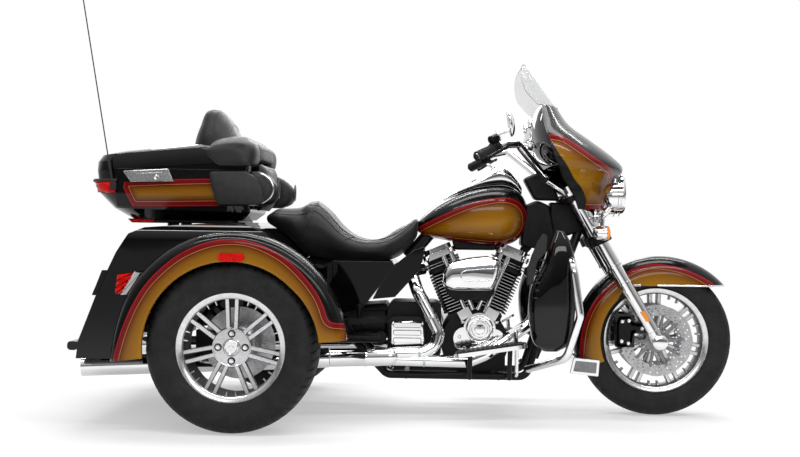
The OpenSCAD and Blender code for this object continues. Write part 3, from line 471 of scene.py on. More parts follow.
def add(name, part, look, stands_for=None, slot=None, origin=REAR, body="chassis", angle=40, values=None,
        thick=0.0, face=None, rim=None):
    """Makes a piece that rides a body; face gives a second look to faces that point along its direction."""
    v, f = part if isinstance(part, tuple) else joined(part)
    me = bpy.data.meshes.new(name)
    me.from_pydata((np.asarray(v, float) * MM + origin).tolist(), [], f)
    me.update()
    bm = bmesh.new()
    bm.from_mesh(me)
    bmesh.ops.recalc_face_normals(bm, faces=bm.faces)
    bm.to_mesh(me)
    bm.free()
    if values is not None:
        at = me.attributes.new("inside", "FLOAT", "POINT")
        at.data.foreach_set("value", np.asarray(values, np.float32))
    me.shade_smooth()
    me.set_sharp_from_angle(angle=math.radians(angle))
    o = bpy.data.objects.new(name, me)
    scene.collection.objects.link(o)
    me.materials.append(M[look])
    if face:
        way = Vector(face[1])
        me.materials.append(M[face[0]])
        for q in me.polygons:
            q.material_index = int(abs(q.normal.dot(way)) > 0.9)
    if thick:
        s = o.modifiers.new("sheet", "SOLIDIFY")
        s.thickness = abs(thick) * MM
        s.offset = -1.0 if thick > 0 else 1.0
        s.use_even_offset = True
        if rim:
            me.materials.append(M[rim])
            s.material_offset_rim = 1
            s.material_offset = int(look == "paint")
    if stands_for:
        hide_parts(stands_for)
    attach(o, body)


def inside(points, outline):
    """Distance of flat points to an outline, positive within it."""
    p = np.asarray(points, float)
    q = np.asarray(outline, float)
    best = np.full(len(p), 1e9)
    within = np.zeros(len(p), bool)
    for i in range(len(q)):
        a, b = q[i], q[(i + 1) % len(q)]
        e = b - a
        t = np.clip(((p - a) @ e) / (e @ e), 0, 1)
        best = np.minimum(best, np.linalg.norm(p - a - t[:, None] * e, axis=1))
        cross = (a[1] > p[:, 1]) != (b[1] > p[:, 1])
        with np.errstate(divide="ignore", invalid="ignore"):
            x = a[0] + (p[:, 1] - a[1]) * e[0] / (e[1] if e[1] else 1e-9)
        within ^= cross & (p[:, 0] < x)
    return np.where(within, best, -best)


# Camera, light and floor

CAM_AT = np.array([0.76699, -4.74386, 0.79694]) + REAR
YAW, PITCH, ROLL = (math.radians(v) for v in (-1.9786, -0.26986, 0.71935))
LENS_PX, PHOTO_W, PHOTO_H, SENSOR = 1109.06, 800.0, 457.0, 36.0
fwd = np.array([math.sin(YAW), math.cos(YAW), 0])
right = np.array([math.cos(YAW), -math.sin(YAW), 0])
up = np.array([0, 0, 1.0])
fwd, up = math.cos(PITCH) * fwd + math.sin(PITCH) * up, math.cos(PITCH) * up - math.sin(PITCH) * fwd
right, up = math.cos(ROLL) * right + math.sin(ROLL) * up, math.cos(ROLL) * up - math.sin(ROLL) * right
cam_data = bpy.data.cameras.new("camera")
cam_data.sensor_fit = "HORIZONTAL"
cam_data.sensor_width = SENSOR
cam_data.lens = SENSOR * LENS_PX / PHOTO_W
cam_data.clip_end = 100.0
cam = bpy.data.objects.new("camera", cam_data)
cam.matrix_world = Matrix([(right[k], up[k], -fwd[k], CAM_AT[k]) for k in range(3)] + [(0, 0, 0, 1)])
scene.collection.objects.link(cam)
scene.camera = cam
scene.view_settings.view_transform = "Standard"


def build_world():
    w = bpy.data.worlds.new("studio")
    scene.world = w
    w.use_nodes = True
    nt = w.node_tree
    bg = nt.nodes["Background"]
    path = put(nt, "LightPath")
    direct = put(nt, "TexCoord").outputs["Generated"]
    axes = put(nt, "SeparateXYZ", {"Vector": direct}).outputs
    level = spread(nt, axes["Z"], 0.0, 1.0, -1.0, 1.0)

    def bands(stops):
        return ramp(nt, level, [(at, rgb(v, v, v)) for at, v in stops])

    backdrop = bands([(0.0, 0.92), (0.485, 1.0), (0.58, 0.92), (0.66, 0.25), (0.86, 0.05), (0.93, 1.0)])
    studio = bands([(0.0, 0.92), (0.47, 0.9), (0.495, 0.06), (0.60, 0.03), (0.64, 0.65), (0.70, 0.65),
                    (0.74, 0.04), (0.87, 0.05), (0.93, 1.0)])
    behind = spread(nt, axes["Y"], 0.0, 1.0, -0.15, 0.45)
    mirror = put(nt, "MixRGB", {"Fac": behind, "Color1": studio, "Color2": backdrop}).outputs[0]
    seen = put(nt, "Math", {0: path.outputs["Is Camera Ray"], 1: path.outputs["Is Transmission Ray"]},
               operation="MAXIMUM").outputs[0]
    soft = put(nt, "MixRGB", {"Fac": path.outputs["Is Glossy Ray"], "Color1": rgb(0.5, 0.5, 0.5),
                              "Color2": mirror}).outputs[0]
    final = put(nt, "MixRGB", {"Fac": seen, "Color1": soft, "Color2": rgb(1, 1, 1)}).outputs[0]
    nt.links.new(final, bg.inputs["Color"])


build_world()


def area_lamp(name, at, target, size, power):
    d = bpy.data.lights.new(name, "AREA")
    d.shape = "RECTANGLE"
    d.size, d.size_y = size
    d.energy = power
    o = bpy.data.objects.new(name, d)
    o.location = at
    o.rotation_euler = (Vector(target) - Vector(at)).to_track_quat("-Z", "Y").to_euler()
    scene.collection.objects.link(o)


area_lamp("top_light", (0.0, 0.2, 4.2), (0.0, 0.0, 0.4), (4.6, 0.9), 110.0)
area_lamp("strip_right", (0.1, -1.9, 3.3), (0.0, 0.0, 0.7), (5.0, 0.12), 60.0)
area_lamp("strip_left", (0.1, 1.9, 3.3), (0.0, 0.0, 0.7), (5.0, 0.12), 60.0)
area_lamp("front_light", (0.6, -4.6, 2.2), (0.0, 0.0, 0.6), (4.0, 0.7), 55.0)
area_lamp("rear_light", (-0.4, 4.4, 2.6), (0.0, 0.0, 0.6), (4.0, 1.0), 55.0)


def build_floor():
    bm = bmesh.new()
    bmesh.ops.create_grid(bm, x_segments=2, y_segments=2, size=30.0)
    me = bpy.data.meshes.new("floor")
    bm.to_mesh(me)
    bm.free()
    o = bpy.data.objects.new("floor", me)
    scene.collection.objects.link(o)
    m = bpy.data.materials.new("floor_white")
    m.use_nodes = True
    nt = m.node_tree
    nt.nodes.remove(nt.nodes["Principled BSDF"])
    out = nt.nodes["Material Output"]
    matte = put(nt, "BsdfDiffuse", {"Color": rgb(0.86, 0.86, 0.86)})
    glow = put(nt, "Emission", {"Color": rgb(1, 1, 1), "Strength": 1.0})
    path = put(nt, "LightPath")
    at = put(nt, "TexCoord").outputs["Object"]
    far = put(nt, "VectorMath", {0: at}, operation="LENGTH").outputs["Value"]

    def calc(operation, a, b):
        return put(nt, "Math", {0: a, 1: b}, operation=operation).outputs[0]

    fade = spread(nt, far, 0.42, 1.0, 1.4, 3.4)
    gloss = calc("MULTIPLY", path.outputs["Is Glossy Ray"], spread(nt, far, 1.0, 0.06, 1.6, 3.8))
    seen_by = calc("MAXIMUM", path.outputs["Is Camera Ray"], gloss)
    seen_by = calc("MAXIMUM", seen_by, path.outputs["Is Transmission Ray"])
    fac = calc("MULTIPLY", fade, seen_by)
    mix = put(nt, "MixShader", {0: fac, 1: matte.outputs[0], 2: glow.outputs[0]})
    nt.links.new(mix.outputs[0], out.inputs["Surface"])
    me.materials.append(m)


build_floor()

# Outer red line of each painted panel, as seen by the camera, and the points that close it unpainted
PANELS = {
    "tank": ([
        (411.5, 233.6), (418, 227.7), (436.5, 217.9), (455, 209.6), (473.4, 202.6), (491.9, 198.5),
        (504.9, 197.6), (517.8, 201.3), (525.2, 209.6), (527.6, 219.8), (526.1, 229.9), (519.7, 239.2),
        (508.6, 244.7), (491.9, 246.2), (473.4, 244.7), (455, 242.9), (436.5, 240.7), (418, 238.3)], []),
    "fairing": ([
        (518, 128), (536, 131.5), (550.3, 134.2), (562.4, 136.1), (572.7, 141.8), (593, 155.9),
        (610.9, 168.6), (613.5, 175), (612.2, 180), (608, 198), (606, 209.5)], [(570, 209.5), (518, 209.5)]),
    "rear_fender": ([
        (113.2, 370), (113.2, 358.3), (117.4, 342), (123.1, 324.8), (133.7, 301.8), (148, 280.8),
        (167.1, 262.6), (186.3, 250.2), (209.2, 241.6), (228.4, 239.1), (247.5, 240.6), (266.6, 247.3),
        (285.8, 258.8), (303, 275), (316.4, 292.3), (323.1, 305.7), (326.9, 317.1), (330.7, 321.9),
        (339.3, 323.3), (352, 324)], [(352, 440), (113, 440)]),
    "front_fender": ([
        (579, 372), (579.1, 357.4), (580.4, 340.3), (584, 322.4), (592.1, 304.4), (602.8, 290.9),
        (615.4, 279.3), (629.8, 270.3), (644.1, 265.4), (656.7, 264), (671.1, 265.8), (685.4, 269.4),
        (699.8, 275.7), (712.4, 282.9)], [(720, 300), (650, 440), (579, 440)]),
    "tour": ([
        (123.3, 187.5), (124.3, 183.6), (128.5, 181.4), (173.8, 179.4), (208.2, 178.7), (240, 178.4),
        (240, 205.3), (215.2, 205.8), (136.5, 206.5), (132.8, 205.3), (130.3, 202.2)], []),
}


def panel(v, origin, name):
    """Millimetres inside a painted panel's red line, the same on both sides."""
    d = np.stack([v[:, 0], -np.abs(v[:, 1]), v[:, 2]], 1) * MM + origin - CAM_AT
    deep = d @ fwd
    at = np.stack([PHOTO_W / 2 + LENS_PX * (d @ right) / deep, PHOTO_H / 2 - LENS_PX * (d @ up) / deep], 1)
    line, rest = PANELS[name]
    return inside(at, [tuple(p) for p in refine(line, 4)] + rest) * deep / MM / LENS_PX


def on_plane(points, y, origin):
    """Side-view places, in millimetres, of what the camera sees on a plane of constant y."""
    out = []
    for u, w in points:
        d = fwd + right * (u - PHOTO_W / 2) / LENS_PX - up * (w - PHOTO_H / 2) / LENS_PX
        q = CAM_AT + d * (y * MM - CAM_AT[1]) / d[1] - origin
        out.append((q[0] / MM, q[2] / MM))
    return np.array(out)


def seen(points, y, radius, steps=5):
    """Rounded outline of what the camera sees at a level of y."""
    return rounded_outline(on_plane(points, y, REAR), radius, steps)


UNPAINTED = -20.0


def painted(name, part, line, beyond, stands_for=None, origin=REAR, **how):
    """Adds a piece with a painted panel on its sides; nearer to the middle than beyond, it stays black."""
    v = part[0]
    values = np.where(np.abs(v[:, 1]) > beyond, panel(v, origin, line), UNPAINTED)
    add(name, part, "paint", stands_for, origin=origin, values=values, **how)


# Fuel tank with its teardrop panel
TANK_ROWS = [
    [686, 34, 758, 812, 2.4], [716, 78, 742, 842, 2.5], [765, 114, 733, 880, 2.6], [830, 143, 722, 916, 2.6],
    [900, 160, 710, 944, 2.6], [975, 167, 704, 960, 2.6], [1040, 162, 707, 962, 2.5],
    [1090, 140, 724, 946, 2.5], [1122, 104, 756, 920, 2.4], [1140, 58, 800, 888, 2.2]]
part = skin(domed([oval_x(r, 96) for r in refine(TANK_ROWS, 8)], 8.0))
painted("tank_shell", part, "tank", 20, "fuel_tank")

# Fairing shell, its black edge and the windshield; rows hold height, front, back and half width
FAIRING_ROWS = [
    [864, -222, -345, 172], [930, -188, -374, 206], [985, -166, -424, 300], [1035, -145, -450, 382],
    [1080, -186, -470, 396], [1146, -278, -486, 366], [1213, -372, -500, 300], [1285, -423, -505, 232]]
SHIELD_ROWS = [
    [1285.5, -419, -522, 231], [1340, -460, -570, 227], [1400, -502, -588, 202], [1446, -535, -585, 148],
    [1472, -554, -571, 60]]
TRIM_WIDTHS = [(864, 30), (900, 46), (950, 52), (1000, 44), (1050, 28), (1100, 12), (1125, 5)]


def wrap(r, n):
    a = np.linspace(-np.pi / 2, np.pi / 2, n + 1)
    return np.stack([r[2] + (r[1] - r[2]) * np.cos(a), r[3] * np.sin(a), np.full(n + 1, r[0])], 1)


def trim_row(z, front, back, half, n=9):
    wide = np.interp(z, *zip(*TRIM_WIDTHS)) / (front - back)
    a = -np.pi / 2 + np.linspace(0, math.asin(wide), n)
    return np.stack([back - 2 + (front - back) * np.cos(a), (half + 3) * np.sin(a), np.full(n, z)], 1)


fairing_rows = refine(FAIRING_ROWS, 10)
painted("fairing_shell", skin([wrap(r, 120) for r in fairing_rows], closed=False), "fairing", 60, "fairing",
        thick=5, rim="gloss", **ON_FORK)
trim = [trim_row(*r) for r in fairing_rows if r[0] <= TRIM_WIDTHS[-1][0]]
add("fairing_trim", both(skin(trim, closed=False)), "satin", thick=4, **ON_FORK)
add("windshield_sheet", skin([wrap(r, 60) for r in refine(SHIELD_ROWS, 8)], closed=False), "shield",
    "windshield", thick=4.5, rim="plastic", **ON_FORK)

# Rear fenders: an arch, and the rounder opening cut out of its side
ARCH_C, ARCH_R, ARCH_Y, ARCH_ROUND = np.array([0.0, 325.0]), 432.0, 695.0, 44.0
OPENING_C, OPENING_R, LEAST_LIP = np.array([25.0, 318.0]), 310.0, 322.0


def reach(centre, radius, start, d):
    """Distance from start along d to the circle about centre."""
    o = centre - start
    b = d @ o
    return b + math.sqrt(max(0, b * b - o @ o + radius ** 2))


def rear_fender():
    body_y = -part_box("rear_fender_right")[1][1] / MM
    c = ARCH_ROUND
    rows = []
    for th in np.radians(np.linspace(5, 187, 150)):
        deg = math.degrees(th)
        flare = 20 * max(0, (deg - 160) / 27) ** 2 + 6 * max(0, (25 - deg) / 20) ** 2
        d = np.array([math.cos(th), math.sin(th)])
        r1 = ARCH_R + flare
        lip = max(reach(OPENING_C, OPENING_R, ARCH_C, d), LEAST_LIP)
        prof = [(r1, y) for y in np.linspace(body_y, ARCH_Y - c, 14)]
        prof += [(r1 - c + c * math.cos(a), ARCH_Y - c + c * math.sin(a))
                 for a in np.linspace(0, np.pi / 2, 12)[1:]]
        prof += [(r, ARCH_Y) for r in np.linspace(r1 - c, lip + 6, 16)[1:]]
        prof += [(lip + 2, ARCH_Y - 1.5), (lip, ARCH_Y - 6), (lip, ARCH_Y - 16)]
        rows.append([(ARCH_C[0] + r * d[0], -y, ARCH_C[1] + r * d[1]) for r, y in prof])
    return skin(rows, closed=False)


part = rear_fender()
for nm, q in (("right", part), ("left", mirrored(part))):
    painted("fender_shell_" + nm, q, "rear_fender", 648, "rear_fender_" + nm, thick=4, rim="satin")

# Front fender
CROWN_C, CROWN_R, CROWN_MID, CROWN_LOW = np.array([25.0, 308.0]), 84.0, 279.0, 240.0


def crown_edge(deg):
    """Radius of the lower edge: level in front, round along the wheel behind."""
    th = math.radians(deg)
    level = CROWN_LOW / max(0.2, math.sin(th)) if deg < 150 else 0.0
    if deg < 112:
        return level
    round_r = reach(np.array([0.0, FRONT_Z]), 235.0, CROWN_C, np.array([math.cos(th), math.sin(th)]))
    t = min(1, (deg - 112) / 26)
    t = t * t * (3 - 2 * t)
    return level * (1 - t) + round_r * t if deg < 150 else round_r


def crown_section(deg):
    low, th = crown_edge(deg), math.radians(deg)
    half, start = [], 0.0
    if low < CROWN_MID:
        half = [(r, CROWN_R) for r in np.linspace(low, CROWN_MID, 14)[:-1]]
    else:
        start = math.asin(min(1.0, (low - CROWN_MID) / CROWN_R))
    half += [(CROWN_MID + CROWN_R * math.sin(a), CROWN_R * math.cos(a))
             for a in np.linspace(start, np.pi / 2, 40)]
    h = np.array(half)
    cum = np.concatenate([[0], np.cumsum(np.linalg.norm(np.diff(h, axis=0), axis=1))])
    cum /= cum[-1] if cum[-1] > 0 else 1
    s = np.linspace(0, 1, 54)
    h = np.stack([np.interp(s, cum, h[:, 0]), np.interp(s, cum, h[:, 1])], 1)
    full = np.vstack([h * [1, -1], h[::-1][1:]])
    return np.stack([CROWN_C[0] + full[:, 0] * math.cos(th), full[:, 1],
                     CROWN_C[1] + full[:, 0] * math.sin(th)], 1)


part = skin([crown_section(a) for a in np.linspace(42.2, 198, 150)], closed=False)
painted("front_fender_shell", part, "front_fender", -1, "front_fender", thick=3, rim="gloss", **ON_FORK)


# Tyres with their tread
TREAD_DEPTH = 5.5


def tyre(r, w, bead, bw, p, wide_grooves, lugs, centre):
    rc = (r + bead + 17) / 2
    n_around, n_across = 640, 60
    a = np.linspace(-np.pi / 2, np.pi / 2, n_across)
    pr = rc + (r - rc) * bent(np.cos(a), 2 / p)
    py = w * bent(np.sin(a), 2 / p)
    f = 2 * np.pi * np.arange(n_around) / n_around
    y = np.broadcast_to(py[None, :], (n_around, n_across))
    turn = f[:, None] * lugs / (2 * np.pi)
    off = np.abs(y) / w

    def slots(skew, width, soft):
        return np.clip((width - np.abs((skew % 1.0) - 0.5) * 2) / soft, 0, 1)

    depth = np.zeros((n_around, n_across))
    for g in wide_grooves:
        depth = np.maximum(depth, np.clip(1.4 - np.abs(y - g * w) / 3.0, 0, 1))
    shoulder = np.clip((off - 0.34) / 0.1, 0, 1)
    depth = np.maximum(depth, slots(turn + off * 0.9, 0.16, 0.06) * shoulder)
    depth = np.maximum(depth, slots(turn - y / w * 0.7 + 0.3, 0.12, 0.05) * (off < 0.34) * (off > 0.10))
    tread = np.clip((pr - (r - 26)) / 10, 0, 1)[None, :]
    rad = pr[None, :] - depth * tread * TREAD_DEPTH
    side = np.stack([np.cos(f)[:, None] * rad, y, np.sin(f)[:, None] * rad], 2)
    inner = [(rc - 20, w * 0.985), (bead + 22, bw + 14), (bead + 6, bw + 3), (bead, bw - 6)]
    inner += [(q, -yy) for q, yy in inner[::-1]]
    extra = np.stack([np.stack([np.cos(f) * q, np.full(n_around, yy), np.sin(f) * q], 1)
                      for q, yy in inner], 1)
    return skin(np.concatenate([side, extra], 1) + np.array(centre, float), loop=True)


add("front_tyre_tread", tyre(FRONT_Z, 65, 205, 45, 2.4, (0.0,), 46, (0, 0, FRONT_Z)), "rubber", "front_tyre",
    angle=50, **ON_WHEEL)
for s, nm in SIDES:
    part = tyre(REAR_Z, 102.5, 192.5, 72, 3.2, (-0.3, 0.0, 0.3), 58, (0, s * HALF_TRACK, REAR_Z))
    add(nm + "_tyre_tread", part, "rubber", nm + "_tyre", body="rear_wheel_" + nm, angle=50)

# Wheels
PAIRS = 7


def bar(r0, r1, a0, a1, w0, w1, y0, y1, depth, turn, steps=8):
    """Spoke from radius r0 to r1, beside the radial line by a0 to a1, its outer face at y0 to y1."""
    rows = []
    for t in np.linspace(0, 1, steps):
        r, a, w = r0 + (r1 - r0) * t, a0 + (a1 - a0) * t, (w0 + (w1 - w0) * t) / 2
        y = y0 + (y1 - y0) * t * t
        rows.append([(r, y - depth, a - w), (r, y - 2, a - w), (r, y, a - w + 2), (r, y, a + w - 2),
                     (r, y - 2, a + w), (r, y - depth, a + w)])
    g = np.array(rows, float)
    c, s = math.cos(turn), math.sin(turn)
    out = g.copy()
    out[..., 0] = g[..., 0] * c - g[..., 2] * s
    out[..., 2] = g[..., 0] * s + g[..., 2] * c
    return skin(out)


def wheel(name, centre, side, node, r, half, face_y, hub_y, hub_r, sides, **how):
    """Cast wheel: bright lips, dark barrel, twin spokes with machined faces, hub plate."""
    def place(parts):
        return [(np.asarray(v, float) * [1, side, 1] + np.array(centre, float),
                 f if side > 0 else [tuple(reversed(q)) for q in f]) for v, f in parts]

    def facing(k, q):
        return q if k > 0 else mirrored(q)

    lip = turned_ring([(r - 24, half - 26), (r - 23, half - 8), (r - 16, half - 2), (r - 3, half),
                       (r, half - 3), (r, half - 9), (r - 3, half - 12), (r - 14, half - 14),
                       (r - 18, half - 26)], 128)
    back = -half if -1 in sides else -half - 14
    barrel = turned_ring([(r - 26, half - 20), (r - 26, back + 20), (r - 21, back + 14),
                          (r - 15.5, back + 14), (r - 15.5, half - 20)], 128)
    disc = stud(0, 0, hub_y - 28, hub_y, [(0, hub_r), (26, hub_r), (30, hub_r - 3), (30.5, hub_r - 6),
                                          (29, hub_r - 8), (29, 34), (32, 31), (32, 0)], 72)
    arms = []
    for k in sides:
        for i in range(PAIRS):
            turn = math.pi / 2 + 2 * math.pi * i / PAIRS
            for e in (-1, 1):
                twin = bar(hub_r - 18, r - 22, e * 14, e * 18.5, 17, 16, hub_y, face_y, 22, turn)
                stub = bar(r - 42, r - 22, 0, 0, 6, 8, face_y - 4, face_y, 14,
                           turn + math.pi / PAIRS + e * 0.096, 3)
                arms += [facing(k, twin), facing(k, stub)]
    add(name + "_lip", place([facing(k, lip) for k in sides]), "alloy", node, **how)
    add(name + "_barrel", place([barrel]), "alloy_dark", node, **how)
    add(name + "_spokes", place(arms), "alloy_dark", node, face=("alloy", (0, 1, 0)), angle=30, **how)
    add(name + "_hub", place([facing(k, disc) for k in sides]), "alloy", node, angle=30, **how)
    return place


for s, nm in SIDES:
    how = {"body": "rear_wheel_" + nm}
    centre = (0, s * HALF_TRACK, REAR_Z)
    place = wheel(nm + "_wheel", centre, s, nm + "_rim", 207.5, 82, 60, 54, 76, (1,), **how)
    nuts, wells = [], []
    for i in range(4):
        x, z = 51 * math.cos(i * math.pi / 2), 51 * math.sin(i * math.pi / 2)
        nuts += [plate(circle(x, z, 9, 6), 55, 65, 0.8), stud(x, z, 64, 66, [(0, 6.5), (2, 5)], 16)]
        wells.append(turned_ring([(9.5, 55), (14.5, 55), (14.5, 57.2), (13, 57.8), (9.5, 56)], 24, (x, 0, z)))
    cap = stud(0, 0, 54, 70, [(0, 29), (10, 29), (13, 27), (14.5, 24), (14, 22), (13, 21), (13, 10), (15, 7),
                              (15, 0)], 48)
    add(nm + "_wheel_nuts", place(nuts), "chrome", angle=30, **how)
    add(nm + "_wheel_wells", place(wells), "satin", slot="frame_black", angle=30, **how)
    add(nm + "_wheel_cap", place([cap]), "chrome", angle=30, **how)
    disc = [turned_ring([(78, -112), (140, -112), (140, -118), (78, -118)], 96),
            stud(0, 0, -118, 40, [(0, 62), (10, 62), (14, 50), (150, 50), (152, 46)], 56),
            turned_ring([(52, -111), (84, -109), (84, -111.5), (52, -113)], 72)]
    add(nm + "_brake_disc", place(disc), "steel", nm + "_rim", **how)

wheel("front_wheel", (0, 0, FRONT_Z), 1, "front_rim", 220, 62, 22, 20, 66, (1, -1), **ON_WHEEL)
CORE = [(0, 44), (6, 48), (40, 48), (46, 40), (86, 40), (92, 48), (126, 48), (132, 44)]
add("front_wheel_core", stud(0, FRONT_Z, -66, 66, CORE, 56), "alloy", "front_rim", **ON_WHEEL)


def drilled(y0, y1):
    """Brake disc ring with rows of small holes, between two levels of y."""
    c = bpy.data.curves.new("disc_outline", "CURVE")
    c.dimensions = "2D"
    c.fill_mode = "BOTH"
    c.extrude = (y1 - y0) / 2

    def loop(cx, cy, r, n, wave=0.0, count=0):
        sp = c.splines.new("POLY")
        sp.points.add(n - 1)
        for k in range(n):
            f = 2 * math.pi * k / n
            q = r + wave * math.cos(count * f)
            sp.points[k].co = (cx + q * math.cos(f), cy + q * math.sin(f), 0, 1)
        sp.use_cyclic_u = True

    holes, hole_r = 30, 3.6
    loop(0, 0, 149, 180, 1.0, 12)
    loop(0, 0, 104, 120)
    for row, r in enumerate((113, 124, 135)):
        for k in range(holes):
            f = 2 * math.pi * (k + row / 3) / holes
            loop(r * math.cos(f), r * math.sin(f), hole_r, 10)
    o = bpy.data.objects.new("disc_outline", c)
    scene.collection.objects.link(o)
    me = bpy.data.meshes.new_from_object(o.evaluated_get(bpy.context.evaluated_depsgraph_get()))
    v = np.array([tuple(q.co) for q in me.vertices])
    f = [tuple(q.vertices) for q in me.polygons]
    bpy.data.objects.remove(o)
    bpy.data.curves.remove(c)
    bpy.data.meshes.remove(me)
    return np.stack([v[:, 0], v[:, 2] + (y0 + y1) / 2, v[:, 1]], 1), f


v, f = drilled(-75.5, -70.5)
add("front_disc_rings", both((v + [0, 0, FRONT_Z], f)), "steel", "front_discs", angle=30, **ON_WHEEL)
arms = []
for i in range(10):
    v, q = bar(44, 108, 0, 9, 15, 11, 0, 0, 6, 2 * math.pi * i / 10, 4)
    f = 2 * math.pi * i / 10 + 0.085
    arms += [(np.asarray(v) * [1, -1, 1] + [0, -76.5, FRONT_Z], q),
             stud(108 * math.cos(f), FRONT_Z + 108 * math.sin(f), -77.5, -69,
                  [(0, 5), (1, 6.5), (7.5, 6.5), (8.5, 5)], 16)]
arms.append(stud(0, FRONT_Z, -79, -66.4, [(0, 40), (2, 47), (10, 47), (12.6, 42)], 48))
add("front_disc_carriers", both(*arms), "alloy_dark", "front_discs", "disc_steel", angle=30, **ON_WHEEL)

# Padded leather pieces
PRESSURE, STIFFNESS, FRAMES, FILL = 4.0, 12.0, 20, 0.7
SEAM_R, SEAM_SINK = 1.5, 0.3


def padded(name, parts, body, node, voxel, cap):
    """Closed forms joined by remeshing, then blown up a little as cloth and given a leather cover."""
    v, f = joined(parts)
    me = bpy.data.meshes.new(name)
    me.from_pydata((v * MM + REAR).tolist(), [], f)
    o = bpy.data.objects.new(name, me)
    scene.collection.objects.link(o)
    m = o.modifiers.new("grid", "REMESH")
    m.mode = "VOXEL"
    m.voxel_size = voxel * MM
    m = o.modifiers.new("even", "SMOOTH")
    m.factor, m.iterations = 0.5, 6

    def settle():
        new = bpy.data.meshes.new_from_object(o.evaluated_get(bpy.context.evaluated_depsgraph_get()))
        o.modifiers.clear()
        o.data = new
        new.name = name

    def places():
        at = np.empty(len(o.data.vertices) * 3, np.float32)
        o.data.vertices.foreach_get("co", at)
        return at

    settle()
    start = places()
    c = o.modifiers.new("cloth", "CLOTH")
    c.settings.use_pressure = True
    c.settings.uniform_pressure_force = PRESSURE
    c.settings.tension_stiffness = c.settings.compression_stiffness = STIFFNESS
    c.settings.effector_weights.gravity = 0.0
    c.point_cache.frame_start, c.point_cache.frame_end = 1, FRAMES
    for k in range(1, FRAMES + 1):
        scene.frame_set(k)
    settle()
    scene.frame_set(1)
    move = (places() - start).reshape(-1, 3)
    far = np.linalg.norm(move, axis=1)
    move *= np.minimum(1.0, cap * MM / np.maximum(far, 1e-9))[:, None]
    o.data.vertices.foreach_set("co", (start.reshape(-1, 3) + move).ravel())
    o.data.update()
    o.data.materials.clear()
    o.data.materials.append(M["leather"])
    o.data.shade_smooth()
    sub = o.modifiers.new("fine", "SUBSURF")
    sub.levels = sub.render_levels = 1
    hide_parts(node)
    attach(o, body)
    return o


def seam(name, pad, paths, body):
    """Sewn ridges that lie on a pad."""
    ground = BVHTree.FromObject(pad, bpy.context.evaluated_depsgraph_get())
    parts = []
    for path in paths:
        pts = []
        for q in refine(path, 8):
            at, normal, _, _ = ground.find_nearest(Vector(q * MM + REAR))
            pts.append((np.array(at + normal * (SEAM_R - SEAM_SINK) * MM * 0.5) - REAR) / MM)
        pts = np.array(pts)
        pts[1:-1] = (pts[:-2] + 2 * pts[1:-1] + pts[2:]) / 4
        parts.append(pipe(pts, SEAM_R, 8))
    add(name, parts, "leather", body=body)


SEAT_ROWS = refine([
    [44, 136, 797, 838, 2.8], [80, 156, 780, 852, 3], [140, 166, 738, 855, 3], [196, 172, 678, 860, 3],
    [232, 175, 656, 882, 3], [266, 176, 648, 878, 3], [310, 178, 643, 838, 3], [360, 182, 640, 780, 3],
    [420, 185, 640, 741, 3], [482, 180, 640, 728, 3], [545, 160, 644, 742, 3], [600, 125, 664, 780, 3],
    [640, 96, 700, 812, 3], [664, 80, 735, 833, 2.8], [676, 66, 752, 826, 2.6]], 6)


def seat_ring(r, slim=5.0, n=64):
    """Seat section: crowned in the middle, with sides that pull in under the edge."""
    g = oval_x([r[0], r[1] - slim, r[2], r[3] - slim, r[4]], n)
    y = g[:, 1] / r[1]
    high = (g[:, 2] - r[2]) / max(1.0, r[3] - r[2])
    dish = 10.0 * math.exp(-((r[0] - 470) / 90) ** 2) + 4.0 * math.exp(-((r[0] - 130) / 60) ** 2)
    g[:, 2] -= np.where(high > 0.6, dish * (1 - y ** 2), 0)
    g[:, 1] *= 1 - 0.10 * np.clip((0.55 - high) / 0.55, 0, 1)
    return g


def seat_line(lift, x0, x1, n=14):
    """Line along the right side of the seat, at an angle above its widest place."""
    out = []
    for x in np.linspace(x0, x1, n):
        _, w, lo, hi, p = (np.interp(x, SEAT_ROWS[:, 0], SEAT_ROWS[:, k]) for k in range(5))
        a = math.radians(lift)
        out.append((x, -w * bent(math.cos(a), 2 / p),
                    (lo + hi) / 2 + (hi - lo) / 2 * bent(math.sin(a), 2 / p)))
    return out


seat = padded("seat_pad", [skin([seat_ring(r) for r in SEAT_ROWS])], "chassis", "seat", 9.0, 9.0)
RIGHT_LINES = [
    seat_line(38, 70, 670), seat_line(60, 250, 640),
    [(262, -60, 880), (256, -120, 876), (244, -170, 840), (214, -176, 760), (196, -174, 700)],
    [(420, -120, 742), (400, -160, 745), (372, -182, 720), (350, -183, 690)]]
lines = [[(x, y * m, z) for x, y, z in line] for m in (1, -1) for line in RIGHT_LINES]
lines.append([(252, y, 884) for y in np.linspace(-120, 120, 7)])
seam("seat_seams", seat, lines, "chassis")

# Backrest: hump, front pad, wings, saddle and shoulders; rows hold height, back, front and half width
LID_TOP, LID_BACK, LID_SLOPE = 1071.5, -580.0, 54.0 / 536.0
HUMP_ROWS = [[0.4, -284, -62, 152], [45, -276, -92, 144], [95, -258, -118, 126], [138, -238, -150, 98],
             [155, -220, -178, 62]]
PAD_ROWS = [[1048, 1, 46, 190], [1082, 1, 42, 188], [1108, -6, 30, 178], [1120, -60, 4, 160]]
SHOULDER_ROWS = [[1022, -46, 20, -308], [1040, -66, 30, -314], [1075, -84, 33, -314], [1098, -92, 27, -310],
                 [1111, -86, 16, -298], [1118, -72, 4, -280]]
WING = [(199, 147.5), (234, 148), (243, 152.5), (250, 164), (248.5, 167.5), (219, 167.5), (208, 158.5)]
WING_Y = -315
hump = []
for z, x0, x1, w in refine(HUMP_ROWS, 5):
    g = oval_z(z, x0 + 3, x1 - 3, -w + 3, w - 3, 2.8, 64)
    g[:, 2] += LID_TOP + 2 + (g[:, 0] - LID_BACK) * LID_SLOPE
    hump.append(g)
